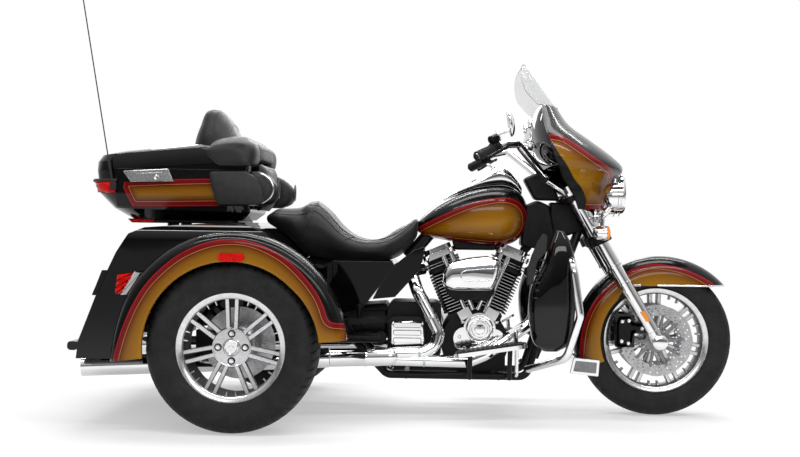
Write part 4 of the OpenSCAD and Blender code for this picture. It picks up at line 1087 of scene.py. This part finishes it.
front_pad = [oval_z(z, x0 + 3, x1 - 2, -w + 3, w - 3, 3, 64) for z, x0, x1, w in refine(PAD_ROWS, 5)]
wing = plate(seen(WING, WING_Y, 12), -302, -320, 5)
saddle = []
f = 2 * np.pi * np.arange(32) / 32
for y in np.linspace(-316, 316, 41):
    drop = max(0.0, abs(y) - 215) / 101
    z = 1124 - 30 * drop ** 2 + (15 - 4 * drop) * np.sin(f) + 0.09 * (76 * np.cos(f))
    saddle.append(np.stack([-88 + 76 * np.cos(f), np.full(32, y), z], 1))
shoulder = skin([oval_z(z, x0, x1, y0, -150, 3.2, 48) for z, x0, x1, y0 in refine(SHOULDER_ROWS, 4)])
rest = padded("backrest_pad", [skin(hump), skin(front_pad), wing, mirrored(wing), skin(saddle), shoulder,
                               mirrored(shoulder)], "tour_lid", "backrest", 7.0, 5.0)


def lid_top(x):
    return LID_TOP + (x - LID_BACK) * LID_SLOPE


lines = [[(-176, y, lid_top(-200) + 60 + 96 * (1 - (y / 150) ** 2)) for y in np.linspace(-146, 146, 13)],
         [(-110, y, lid_top(-100) + 92 * (1 - (y / 150) ** 2)) for y in np.linspace(-140, 140, 13)],
         [(42, y, 1098) for y in np.linspace(-180, 180, 11)]]
for m in (1, -1):
    lines.append([(x, m * -322, z) for x, z in inset(on_plane(WING, WING_Y, REAR), 9)[:4]])
seam("backrest_seams", rest, lines, "tour_lid")

LUMBAR_ROWS = [[838, 0.4, 30, 150], [880, 0.4, 48, 180], [960, 0.4, 56, 190], [1020, 0.4, 50, 186],
               [1040, 0.4, 36, 170]]
low = [oval_z(z, x0 + 1, x1 - 4, -w + 4, w - 4, 3, 64) for z, x0, x1, w in refine(LUMBAR_ROWS, 5)]
low = padded("lumbar_cushion", [skin(low)], "chassis", "lumbar_pad", 7.0, 6.0)
lines = [[(50, y, z) for y in np.linspace(-170, 170, 11)] for z in (905, 975)]
lines.append([(48, 175 * math.sin(f), 942 + 82 * math.cos(f)) for f in np.linspace(-math.pi, math.pi, 25)])
seam("lumbar_seams", low, lines, "chassis")

# Tour trunk: painted side panels, latch, pods, mount and reflector
WALL_Y, WALL_BEND = 300.9, 905


def wall_y(z):
    return -(WALL_Y if z > WALL_BEND else 301.1 - 14 * (WALL_BEND - z) / 61.0)


part = skin([[(x, wall_y(z), z) for z in np.linspace(852, 1006, 56)] for x in np.linspace(-536, -92, 150)],
            closed=False)
for nm, q in (("right", part), ("left", mirrored(part))):
    painted("tour_panel_" + nm, q, "tour", -1, thick=-0.5)
LATCH = [(122.6, 170.9), (168.2, 168.8), (173.6, 181.7), (130.5, 181.7)]
LATCH_FLAP = [(134, 173.2), (162.8, 172.2), (163.2, 181.4), (134.4, 181.5)]
add("tour_latch", [plate(seen(LATCH, -311, 5), -310.4, -313.6, 1.2),
                   plate(seen(LATCH_FLAP, -313, 3), -313, -315, 0.8)], "alloy", slot="chrome", angle=30)
lx, lz = on_plane([(156.7, 177.3)], -315, REAR)[0]
add("tour_lock", [stud(lx, lz, -314.5, -318, [(0, 10), (1.5, 10.5), (3, 9), (2.4, 7.5), (2.4, 0)], 28),
                  plate(box(lx - 1, lx + 1, lz - 4, lz + 4, 0.4), -316.6, -317.4, 0.2)], "chrome", angle=30)
POD = [(208.4, 174), (211, 170.8), (245, 170.6), (256.2, 177.4), (262.4, 187), (264.4, 196.6), (263, 206),
       (217.8, 206), (212, 190)]
FRONT_PODS = [[858, 0.4, 60, 300], [880, 0.4, 106, 312], [926, 0.4, 116, 316], [972, 0.4, 90, 312],
              [998, 0.4, 46, 300]]
pod = seen(POD, -320, 14)
POD_STEPS = [(0, -300.6), (0, -314), (2, -319), (5, -322), (9, -323.6)]
pods = [skin([upright(inset(pod, d), y) for d, y in POD_STEPS]),
        skin([oval_z(z, x0, x1, -w, -196, 3, 56) for z, x0, x1, w in refine(FRONT_PODS, 8)])]
add("speaker_housings", both(*pods), "plastic", "speaker_pods", angle=50)
f = np.linspace(-1.9, 1.2, 30)
trim = np.stack([22 + 84 * np.cos(f) * 0.98, np.full(30, -317.5), 928 + 66 * np.sin(f)], 1)
grilles = []
for r in (8, 15, 22, 29, 36):
    v, q = turned_ring([(r, -2), (r + 2.2, -2), (r + 2.2, 0), (r, 0)], 48)
    grilles.append((np.asarray(v)[:, [1, 0, 2]] * [-1, 1, 1] + [116.5, -256, 928], q))
add("speaker_trim", both(pipe(trim, 3.4, 12)), "chrome")
add("speaker_grilles", both(*grilles), "plastic", angle=30)
add("tour_mount", plate(box(-486, -60, -214, 214, 40), 786, 803, 4, "z"), "satin", slot="frame_black")
REFLECTOR = [(-512, 803), (-396, 803), (-402, 790), (-494, 786)]
add("tour_reflector", plate(rounded_outline(REFLECTOR, 5), -222, 222, 3), "red")
CORNER_X, CORNER_Y, CORNER_R = -552, -216, 97
caps = []
for z, dx in ((950, 1.0), (953, 4.0), (959, 4.0), (963, 0.0)):
    row = [(CORNER_X + (CORNER_R + dx) * math.cos(a), CORNER_Y + (CORNER_R + dx) * math.sin(a), z)
           for a in np.radians(np.linspace(180, 262, 20))]
    caps.append([(row[0][0], -130, z)] + row + [(-530, row[-1][1], z)])
add("tour_lamp_caps", both(skin(caps, closed=False)), "plastic", thick=3)
soften("tour_base", 0.006, 25, 3)
soften("tour_lid", 0.012, 25, 4)
soften("tail_lamps", 0.003, 30, 3)

# Engine, exhaust and guard
VEE, CRANK = math.radians(22.5), np.array([925.0, 0, 300.0])


def in_bank(part, s):
    v, f = part
    v = np.asarray(v, float)
    c, k = math.cos(s * VEE), math.sin(s * VEE)
    return np.stack([v[:, 0] * c + v[:, 2] * k, v[:, 1], v[:, 2] * c - v[:, 0] * k], 1) + CRANK, f


def band(outline, z0, z1, out=0.5, deep=1.5):
    a, b = inset(outline, -out), inset(outline, deep)
    rows = [np.column_stack([q, np.full(len(q), z)]) for q, z in ((a, z0), (a, z1), (b, z1), (b, z0))]
    return skin(rows, loop=True)


def bolt(x, z, y, r, top, socket, deep=5.4, n=20):
    """Bolt head that stands 7 mm out to the right, with a socket in it."""
    return stud(x, z, y, y - 7, [(0, r), (5, r), (7, top), (deep, socket), (deep, 0)], n)


fin = box(-74, 74, -92, 92, 30, 6)
heights = [158 + i * 172 / 13 for i in range(13)] + [353, 365]
edges = [in_bank(band(fin, z + 1, z + 3), s) for s in (-1, 1) for z in heights]
add("fin_edges", edges, "alloy", slot="chrome", angle=30)
nuts = []
for s in (-1, 1):
    nuts += [in_bank(bolt(x, 400, -129, 9, 7, 4, 5.5, 6), s) for x in (-52, 52)]
    nuts.append(in_bank(band(box(-58, 58, -126, 84, 24), 411, 414, 0, 3), s))
add("rocker_bolts", nuts, "chrome", angle=30)

REAR_ROUTE = [(700.9, -56, 603.9), (657, -112, 595.9), (684, -186, 520), (745, -195, 410), (774, -198, 352),
              (764, -203, 298), (716, -208, 269), (588, -217, 264)]
FRONT_ROUTE = [(1149.1, -56, 603.9), (1179, -104, 573.9), (1161, -166, 400), (965, -190, 262),
               (895, -200, 234), (588, -217, 240)]
CROSS_ROUTE = [(576, -223, 242), (576, -150, 205), (576, 150, 205), (576, 223, 242)]
MUFFLER_NECK = [(0, 26), (10, 33), (26, 37), (120, 37), (122, 39), (134, 39), (136, 37), (274, 37)]
pipes = [pipe(rounded(REAR_ROUTE, 44, 10), 26, 36), pipe(rounded(FRONT_ROUTE, 60, 10), 25, 36),
         pipe(rounded(CROSS_ROUTE, 28, 8), 14, 20)]
for x, m in ((604, 1), (596, -1)):
    pipes.append(lathe((x, -217 * m, 252), (331.9, -258 * m, 248), MUFFLER_NECK, 48))
add("exhaust_pipes", pipes, "chrome", "exhaust_headers", angle=50)
CLAMPS = [((707.3, -189.5, 478), (702.3, -188.8, 487), 26), ((746, -195, 408), (741, -194.4, 417), 26),
          ((1080, -177, 343), (1072, -178, 337), 25), ((700, -209.2, 268.3), (690, -210, 267.8), 26),
          ((720, -209, 237), (710, -209.5, 237), 25)]
clamps = [lathe(a, b, [(0, r - 2), (0.5, r + 1.6), (9.5, r + 1.6), (10, r - 2)], 32) for a, b, r in CLAMPS]
add("exhaust_clamps", clamps, "steel", slot="chrome", angle=30)

tray = [plate(rounded_outline([(356, 300), (556, 300), (556, 462), (356, 446)], 14), -112, 112, 8),
        plate(rounded_outline([(348, 424), (562, 432), (562, 450), (348, 442)], 6), -124, 124, 4),
        stud(424, 350, -110, -124, [(0, 34), (8, 34), (12, 30), (13, 22), (11, 20), (13, 0)], 40)]
add("battery_tray", tray, "satin", angle=35)
studs = [stud(x, z, -111, -120, [(0, 9), (5, 9), (8, 6.5), (9, 0)], 20)
         for x, z in ((474, 392), (536, 326), (380, 322))]
add("battery_tray_bolts", studs, "chrome", angle=35)

AIR = [(442.4, 285.4), (442.2, 277), (445.2, 268.6), (452.4, 261.6), (468, 257.9), (488.2, 255.8),
       (498.2, 258.4), (501.2, 263.5), (501, 271), (496.8, 283.6), (492.6, 290), (487, 291), (452, 290.4)]
AIR_STEPS = [(4, -176), (0, -180), (0, -208), (1.2, -216), (4, -224), (8, -230), (13, -234), (19, -236.5)]
AIR_BEAD = [(497, 268.4), (480, 269.2), (466, 270.6), (461.6, 273), (460.6, 276), (462.4, 279.2), (467, 281),
            (481, 280.8), (494.5, 280)]
AIR_BACK = [(444, 278), (497, 278), (494, 293), (489, 300.5), (453, 299.5), (446, 292)]
air = seen(AIR, -230, 18, 4)
bead = upright(refine(on_plane(AIR_BEAD, -237, REAR), 6), -236)
add("air_cleaner_cover", [skin([upright(inset(air, d) if d else air, y) for d, y in AIR_STEPS]),
                          pipe(bead, 2.2, 10)], "chrome", "air_cleaner", angle=50)
add("air_cleaner_back", [plate(seen(AIR_BACK, -190, 10), -172, -206, 3),
                         stud(925, 600, -20, -182, [(0, 36), (8, 40), (160, 40)], 48)],
    "satin", "air_cleaner", "engine_black")

CAM_X, CAM_Z = 943, 364
CAM_CAP = [(0, 57), (10, 57), (16, 55), (18, 51), (17, 47), (17, 42), (19.5, 40), (19.5, 34), (18, 32),
           (18, 22), (21, 19), (22, 0)]
rings = [stud(CAM_X, CAM_Z, -150, -176, CAM_CAP, 72)]
for i in range(5):
    f = math.pi / 2 + 2 * math.pi * i / 5
    rings.append(stud(CAM_X + 44.5 * math.cos(f), CAM_Z + 44.5 * math.sin(f), -166, -171,
                      [(0, 3.6), (3.5, 3.6), (5, 2.6), (3.6, 1.8), (3.6, 0)], 12))
for x, z in ((860, 330), (872, 392), (1012, 392), (1022, 330), (880, 286), (1004, 284)):
    rings.append(bolt(x, z, -145, 7.5, 5.5, 3.5))
add("cam_cover_cap", rings, "chrome", angle=30)

side = seen([(391, 322.5), (416, 321), (423.5, 326), (424.4, 343.6), (391, 345)], -172, 14)
cover = [plate(side, -165, -174, 3)]
lo, hi = side.min(0), side.max(0)
for t in (0.2, 0.52, 0.84):
    z = lo[1] + (hi[1] - lo[1]) * t
    cover.append(plate(box(lo[0] + 10, hi[0] - 12, z - 11, z + 11, 8), -173, -179, 2.5))
cover += [bolt(x, z, -173, 6.5, 5, 3.2) for x in (lo[0] + 9, hi[0] - 8) for z in (lo[1] + 9, hi[1] - 9)]
add("transmission_cover", cover, "chrome", angle=35)

GUARD = [(1319, -38, 645), (1285, -200, 655), (1295, -362, 668), (1329, -366, 440), (1280, -334, 268),
         (1140, -128, 196)]
add("guard_tubes", both(pipe(rounded(GUARD, 60, 10), 16, 24)), "chrome", "engine_guard")
LOWER_ROWS = [
    [294, 1190, 1258, 306, 232], [330, 1152, 1300, 335, 220], [430, 1134, 1316, 348, 216],
    [540, 1140, 1318, 350, 216], [640, 1186, 1316, 346, 220], [720, 1210, 1300, 336, 226],
    [776, 1234, 1268, 312, 246]]
part = skin(domed([oval_z(z, x0, x1, -y0, -y1, 3, 72) for z, x0, x1, y0, y1 in refine(LOWER_ROWS, 8)], 5))
for nm, q in (("right", part), ("left", mirrored(part))):
    add("lower_shell_" + nm, q, "gloss", "lower_fairing_" + nm)
FLAP = [(543.5, 233), (547.5, 236), (546.4, 252), (537, 262), (533, 284), (527, 286), (526.6, 272),
        (531.4, 256), (538, 241)]
flap = [plate(seen(FLAP, -345, 8), -330, -352, 3)]
for t in np.linspace(0.14, 0.86, 7):
    z = 470 + 250 * t
    flap.append(plate(box(1142 + 40 * t, 1158 + 40 * t, z, z + 7, 2), -351, -353.5, 0.8))
add("lower_flaps", both(*flap), "plastic", angle=35)

CONSOLE_ROWS = [
    [790, 20, 899, 904, 2.4], [850, 50, 926.5, 942, 2.6], [930, 62, 953, 988, 2.8],
    [1005, 66, 963.5, 1040, 3], [1050, 62, 963, 1036, 2.8], [1092, 48, 948, 996, 2.6],
    [1118, 26, 926, 958, 2.4]]
part = skin(domed([oval_x(r, 64) for r in refine(CONSOLE_ROWS, 8)], 3))
cap = lathe((1000, 0, 1036), (1006, 0, 1048), [(0, 34), (5, 34), (7, 31), (8.5, 24), (8, 22), (9, 0)], 40)
gauge = lathe((934, 0, 978), (924, 0, 996), [(0, 30), (10, 32), (14, 30), (13, 27), (11, 26), (11, 0)], 40)
add("console_cover", [part, cap, gauge], "chrome", "tank_console", angle=50)
rows = refine(CONSOLE_ROWS, 6)[6:-6]
lines = [pipe([(r[0], m * (r[1] * 0.9 + 3), r[2] + 4) for r in rows], 4, 8) for m in (-1, 1)]
add("console_edges", lines, "satin")

# Tail lamps: ribbed lenses with a bright bezel behind the rear fenders, wrapped lenses on the tour trunk
LENS_LEFT, LENS_RIGHT = np.array([[117, 274.5], [114.5, 294.5]]), np.array([[133.5, 272.5], [121.5, 292.5]])
RIBS, RIB_GAP = 3, 0.02


def between(ends, t):
    return ends[0] + (ends[1] - ends[0]) * t


ribs = []
for k in range(RIBS):
    t0, t1 = k / RIBS + RIB_GAP, (k + 1) / RIBS - RIB_GAP
    corners = [between(LENS_LEFT, t0), between(LENS_RIGHT, t0), between(LENS_RIGHT, t1),
               between(LENS_LEFT, t1)]
    ribs.append(plate(seen(corners, -668, 4), -548, -668, 4))
ribs.append(plate(seen([(119, 275), (136, 273), (123.5, 293), (117, 294)], -664, 4), -552, -664, 3))
add("fender_lamp_lenses", both(*ribs), "red", angle=35)
bezel = seen([(134.6, 271.2), (141.5, 272.6), (127, 294.6), (119.8, 294.6)], -674, 4)
add("fender_lamp_bezels", both(plate(bezel, -540, -674, 3)), "chrome", angle=35)
lens = []
for z, back in ((906, 600), (910, 622), (918, 632), (934, 641), (950, 645)):
    row = [(CORNER_X + (back + CORNER_X) * math.cos(a), CORNER_Y + 98.5 * math.sin(a), z)
           for a in np.radians(np.linspace(180, 264, 22))]
    lens.append([(-back, -120, z)] + row + [(-536, -314.4, z)])
add("tour_lamp_lenses", both(skin(lens, closed=False)), "red", thick=3)
side_y = -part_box("trike_body")[1][1] / MM
cover = seen([(91.9, 295.2), (97.6, 295.2), (107.6, 270.0), (101.9, 270.0)], side_y, 3)
add("rear_lamp_sides", both(plate(cover, side_y + 3, side_y - 2, 1.2)), "gloss", angle=35)

inner_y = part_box("rear_fender_right")[1][1] / MM
sector = [(r * math.cos(a), REAR_Z + r * math.sin(a)) for r, a0, a1 in ((338, 6, 78), (428, 78, 6))
          for a in np.radians(np.linspace(a0, a1, 30))]
add("fender_liners", both(plate(sector, inner_y - 1, inner_y - 5, 1)), "satin", slot="black_paint", angle=35)

# Dark parts behind the engine and the fork
NECK = [(1112, 706), (1284, 684), (1262, 735), (1236, 878), (1182, 902), (1132, 880)]
fill = [plate(rounded_outline(NECK, 18), -58, 58, 8),
        plate(rounded_outline([(836, 688), (1010, 688), (1030, 752), (820, 752)], 12), -62, 62, 6)]
for y in (-78, 78):
    route = [(1286, y, 668), (1240, y * 1.05, 560), (1216, y * 1.1, 330), (1180, y, 240)]
    fill.append(pipe(rounded(route, 60), 13, 16))
add("neck_cover", fill, "satin", slot="frame_black")
blade = rounded_outline([(1226, 330), (1270, 330), (1276, 640), (1232, 640)], 6)
cooler = [plate(blade, y - 1.2, y + 1.2, 0.5) for y in np.arange(-108, 109, 9.0)]
cooler += [plate(box(1222, 1278, z, z + 26, 8), -116, 116, 4) for z in (322, 474, 624)]
add("oil_cooler", cooler, "satin", slot="engine_black", angle=35)
gusset = rounded_outline([(1236, 894), (1326, 890), (1380, 776), (1236, 726)], 12)
add("neck_gusset", plate(gusset, -40, 40, 8), "satin", slot="frame_black")
shroud = rounded_outline([(-562, 992), (-492, 1024), (-430, 956), (-404, 900), (-512, 902)], 16)
add("fork_shroud", plate(shroud, -40, 40, 8), "satin", **ON_FORK)

# Lamps; the two profiles hold shares of a lamp's length and radius
LAMP_SHELL = [
    (0, 0.30), (0.06, 0.58), (0.2, 0.82), (0.4, 0.95), (0.68, 0.97), (0.7, 1), (0.78, 1), (0.8, 0.97),
    (0.84, 0.97), (0.86, 1), (0.95, 1), (1, 0.96), (0.99, 0.90), (0.95, 0.88), (0.6, 0.6), (0.45, 0.2),
    (0.45, 0)]
LAMP_GLASS = [(0.93, 0), (0.93, 0.87), (0.97, 0.88), (1.0, 0.8), (1.03, 0.5), (1.045, 0)]
LEG_TILT, LEG_Y, BAR_Z = math.radians(31), -125, 836


def lamp(x0, x1, y, z, r):
    return [lathe((x0, y, z), (x1, y, z), [((x1 - x0) * s, r * q) for s, q in profile], 64)
            for profile in (LAMP_SHELL, LAMP_GLASS)]


def leg_at(z):
    return -(z - FRONT_Z) * math.tan(LEG_TILT)


head_shell, head_glass = lamp(-268, -138, 0, 930, 95)
pass_shell, pass_glass = lamp(-254, -176, -235, 916, 57)
signal = lathe((-288, -205, 768), (-222, -205, 768),
               [(0, 10), (6, 22), (18, 28), (34, 29), (36, 30), (52, 30), (54, 28)], 40)
signal_lens = lathe((-236, -205, 768), (-214, -205, 768),
                    [(0, 28), (6, 28.5), (12, 26), (16, 18), (18, 0)], 40)
bar_x = leg_at(BAR_Z) + (31 + 21) / math.cos(LEG_TILT)
route = [(-216, -235, 886), (bar_x, -235, 842), (bar_x, -190, BAR_Z), (bar_x, 0, BAR_Z)]
arms = [pipe(rounded(route, 16), 13, 20),
        pipe([(bar_x, -205, 838), (bar_x - 2, -205, 815), (-252, -205, 792)], 9, 16),
        pipe([(bar_x, LEG_Y, BAR_Z), (leg_at(BAR_Z) + 34, LEG_Y, BAR_Z)], 13, 16)]
crest = [(leg_at(BAR_Z) + 44, 812), (bar_x + 15, 806), (bar_x + 17, 862), (leg_at(860) + 44, 868)]
crest = plate(rounded_outline(crest, 8), -122, 0, 4)
add("lamp_shells", [head_shell, both(pass_shell, signal)], "chrome", "front_lamps", **ON_FORK)
add("lamp_glass", [head_glass, both(pass_glass)], "lens", **ON_FORK)
add("signal_lenses", both(signal_lens), "amber", **ON_FORK)
add("lamp_bar", both(*arms, crest), "chrome", "front_lamps", **ON_FORK)

# Fork details: seams, reflectors, axle caps, fender trim and end plate
rings = []
d = np.array([-math.sin(LEG_TILT), 0, math.cos(LEG_TILT)])
for z, r in ((632, 33), (560, 28.5), (360, 28.5), (735, 33)):
    at = np.array([leg_at(z), LEG_Y, z])
    rings.append(lathe(at - d * 6, at + d * 6, [(0, r - 2), (1, r + 1.5), (11, r + 1.5), (12, r - 2)], 40))
rings.append(stud(0, FRONT_Z, -152, -163, [(0, 30), (4, 30), (8, 26), (11, 16), (11, 0)], 40))
add("fork_trim", both(*rings), "chrome", angle=35, **ON_FORK)
z0, z1 = 404, 448
mark = [(leg_at(z0) - 9, z0), (leg_at(z0) + 9, z0 + 4), (leg_at(z1) + 9, z1), (leg_at(z1) - 9, z1 - 4)]
add("fork_reflectors", both(plate(rounded_outline(mark, 3), -150, -156, 1.5)), "amber", angle=35, **ON_FORK)
strip = []
for a in np.radians(np.linspace(43, 96, 40)):
    r = CROWN_LOW / math.sin(a)
    w = CROWN_R if r < CROWN_MID else math.sqrt(max(0, CROWN_R ** 2 - (r - CROWN_MID) ** 2))
    strip.append((CROWN_C[0] + r * math.cos(a), -w - 1.5, CROWN_C[1] + r * math.sin(a) + 3))
badge = rounded_outline([(-128, 545), (-70, 545), (-70, 554), (-118, 554)], 3)
add("fender_trim", both(pipe(strip, 4.2, 12), plate(badge, -84, -88, 1)), "chrome", **ON_FORK)
flat = on_plane([(573.5, 357.6), (600, 360), (598.5, 376.6), (569.5, 373.6)], -84, FRONT)
end = plate(rounded_outline(flat, 6), -80, -88, 2)
top, foot = flat[0], flat[3]
back = [[(top[0], y, top[1]), (foot[0], y, foot[1]), (foot[0] + 8, y, foot[1]), (top[0] + 8, y, top[1])]
        for y in np.linspace(-86, 86, 9)]
add("fender_end", [both(end), skin(back)], "chrome", angle=35, **ON_FORK)
add("fender_end_insert", both(plate(rounded_outline(inset(flat, 12), 4), -87, -90, 1)), "alloy_dark",
    slot="chrome", angle=35, **ON_FORK)
CALIPER = [(-176, 296), (-150, 288), (-104, 300), (-98, 350), (-56, 352), (-44, 372), (-58, 394), (-100, 398),
           (-112, 426), (-164, 424), (-178, 392)]
faces = [plate(rounded_outline(CALIPER, 10), -86, -99, 4),
         plate(rounded_outline(inset(CALIPER, 14), 8), -98, -105, 3)]
add("caliper_faces", both(*faces), "satin", angle=35, **ON_FORK)
bolts = [bolt(x, z, -103, 8, 6, 3.5, 5.5)
         for x, z in ((-150, 318), (-148, 400), (-122, 310), (-120, 404), (-66, 372))]
add("caliper_bolts", both(*bolts), "chrome", angle=35, **ON_FORK)

# Inner fairing with its gauges
rows = []
for z, _, back, half in refine(FAIRING_ROWS[3:], 8):
    t = (z - 1035) / 250.0
    deep = 8 + 52 * math.sin(math.pi * min(1, max(0, t)) ** 0.8) ** 0.7
    w = half - 9
    y = np.linspace(-w, w, 61)
    rows.append(np.stack([back + 4 - deep * (1 - np.abs(y / w) ** 5), y, np.full(61, z)], 1))
add("inner_fairing", skin(rows, closed=False), "gloss", "dash", thick=-4, **ON_FORK)
dials, faces = [], []
for out, z, r, x in ((72, 1150, 46, -541), (172, 1160, 27, -538), (128, 1216, 24, -545)):
    for y in (-out, out):
        dials.append(lathe((x + 14, y, z), (x - 8, y, z + 2), [
            (0, r), (14, r), (19, r - 2), (21, r - 5), (18, r - 6), (8, r - 6), (8, 0)], 40))
        faces.append(lathe((x + 6, y, z), (x - 2, y, z + 1),
                           [(0, r - 6.5), (2, r - 6.5), (2, 3), (5, 2), (5, 0)], 32))
add("gauge_rims", dials, "chrome", angle=30, **ON_FORK)
add("gauge_faces", faces, "plastic", angle=30, **ON_FORK)

# Handlebar, grips, switches and levers
GRIP = [(-775, -430, 1058), (-668, -342, 1112), (-604, -268, 1122), (-470, -76, 992)]
RISER = [(0, 18), (20, 19), (78, 16), (84, 19), (112, 19), (116, 15)]
bar_line = rounded(GRIP + [(x, -y, z) for x, y, z in GRIP[::-1]], 40, 10)
risers = [lathe((-383.2, y, 936), (-470, y, 992), RISER, 32) for y in (-46, 46)]
add("bar_tube", [pipe(bar_line, 16, 28)] + risers, "chrome", "handlebar", angle=45, **ON_FORK)
ga, gb = np.array(GRIP[0], float), np.array(GRIP[1], float)
gu = (gb - ga) / np.linalg.norm(gb - ga)
gv = np.array([0, 0, 1.0]) - gu[2] * gu
gv /= np.linalg.norm(gv)
go = np.cross(gu, gv)


def on_grip(t, o=0, h=0):
    """Place along the right grip, moved forward by o and up by h."""
    return ga + (gb - ga) * t + go * o + gv * h


length = np.linalg.norm(gb - ga) * 0.58
ribs = [(0, 15), (1, 19), (3, 20.5)]
for k in range(9):
    at = 8 + k * (length - 16) / 9
    ribs += [(at, 20.5), (at + 1.5, 19.2), (at + 3, 19.2), (at + 4.5, 20.5)]
ribs += [(length - 2, 20.5), (length, 23), (length + 2, 23)]
add("hand_grips", both(lathe(on_grip(0.02), on_grip(0.6), ribs, 36)), "rubber", "hand_controls", angle=30,
    **ON_FORK)
SWITCH = [(0, 21), (2, 25), (16, 25), (17, 24), (18, 24), (19, 25), (36, 25), (38, 20)]
pods = [lathe(on_grip(0.6), on_grip(0.86), SWITCH, 36),
        lathe(on_grip(0.62, 0, 37), on_grip(0.92, 0, 37), [(0, 12), (3, 17), (38, 17), (41, 13)], 28),
        lathe(on_grip(0.74, 0, 18), on_grip(0.74, 0, 38), [(0, 13), (20, 13)], 20),
        lathe(on_grip(0.72, 14), on_grip(0.72, 66), [(0, 10), (40, 8), (52, 8)], 20)]
add("switch_pods", both(*pods), "satin", "hand_controls", angle=35, **ON_FORK)
LEVER = [(0.78, 58, 0), (0.62, 64, 0), (0.35, 66, -2), (0.1, 70, -4), (-0.02, 68, -4)]
lever = refine([on_grip(*q) for q in LEVER], 6)
levers = [pipe(lever, np.linspace(7, 5.4, len(lever)), 16),
          lathe(on_grip(0.0, 68, -4), on_grip(-0.04, 68, -4), [(0, 6), (3, 7.5), (6, 6), (7, 2)], 16)]
add("hand_levers", both(*levers), "satin", "hand_controls", angle=35, **ON_FORK)

# Mirrors, footboard trim and pads
at = np.array([-642.0, -412, 1192])
d = np.array([math.sin(math.radians(80)), 0, math.cos(math.radians(80))])
SHELL = [(0, 51), (3, 53), (8, 52), (14, 46), (20, 32), (23, 14), (23.5, 0)]
shells = [lathe(at - d * 8, at + d * 16, SHELL, 48),
          pipe([(-634, -392, 1160), (-634, -392, 1176), (-640, -408, 1190)], 5.5, 14),
          pipe([(-690, -376, 1150), (-662, -384, 1160), (-634, -392, 1172)], 5.5, 14)]
glass = lathe(at - d * 8.5, at - d * 6, [(0, 0), (0, 48), (2.5, 49)], 48)
add("mirror_shells", both(*shells), "chrome", "mirrors", **ON_FORK)
add("mirror_glass", both(glass), "steel", slot="chrome", **ON_FORK)
BOARD_TILT, BOARD_AT = math.radians(9), (840, -362, 266)


def on_board(part):
    v, f = part
    x, y, z = np.asarray(v, float).T
    c, s = math.cos(BOARD_TILT), math.sin(BOARD_TILT)
    return np.stack([BOARD_AT[0] + x * c - z * s, y + BOARD_AT[1], BOARD_AT[2] + x * s + z * c], 1), f


board = box(0, 288, 0, 112, 40, 6)
pads = [on_board(plate(inset(board, 10), 13.5, 19, 1.5, "z"))]
pads += [on_board(plate(box(x, x + 9, 16, 96, 3), 18.5, 22.5, 1, "z")) for x in np.arange(34, 262, 19.0)]
add("footboard_pads", both(*pads), "rubber", angle=35)
add("footboard_rims", both(on_board(band(board, -1, 15, 2.2, 3))), "chrome", angle=35)

for n in "trike_body trunk_door rear_bumper seat_panel".split():
    soften(n, 0.007, 35, 3)
for n in ("crankcase gearbox primary_cover cam_cover rocker_covers footboards front_calipers fork_stem "
          "plate_bracket").split():
    soften(n, 0.0025)
for n in "muffler_right muffler_left fork_legs foot_controls antenna frame rear_axle cylinders".split():
    soften(n, 0.0008, 40)
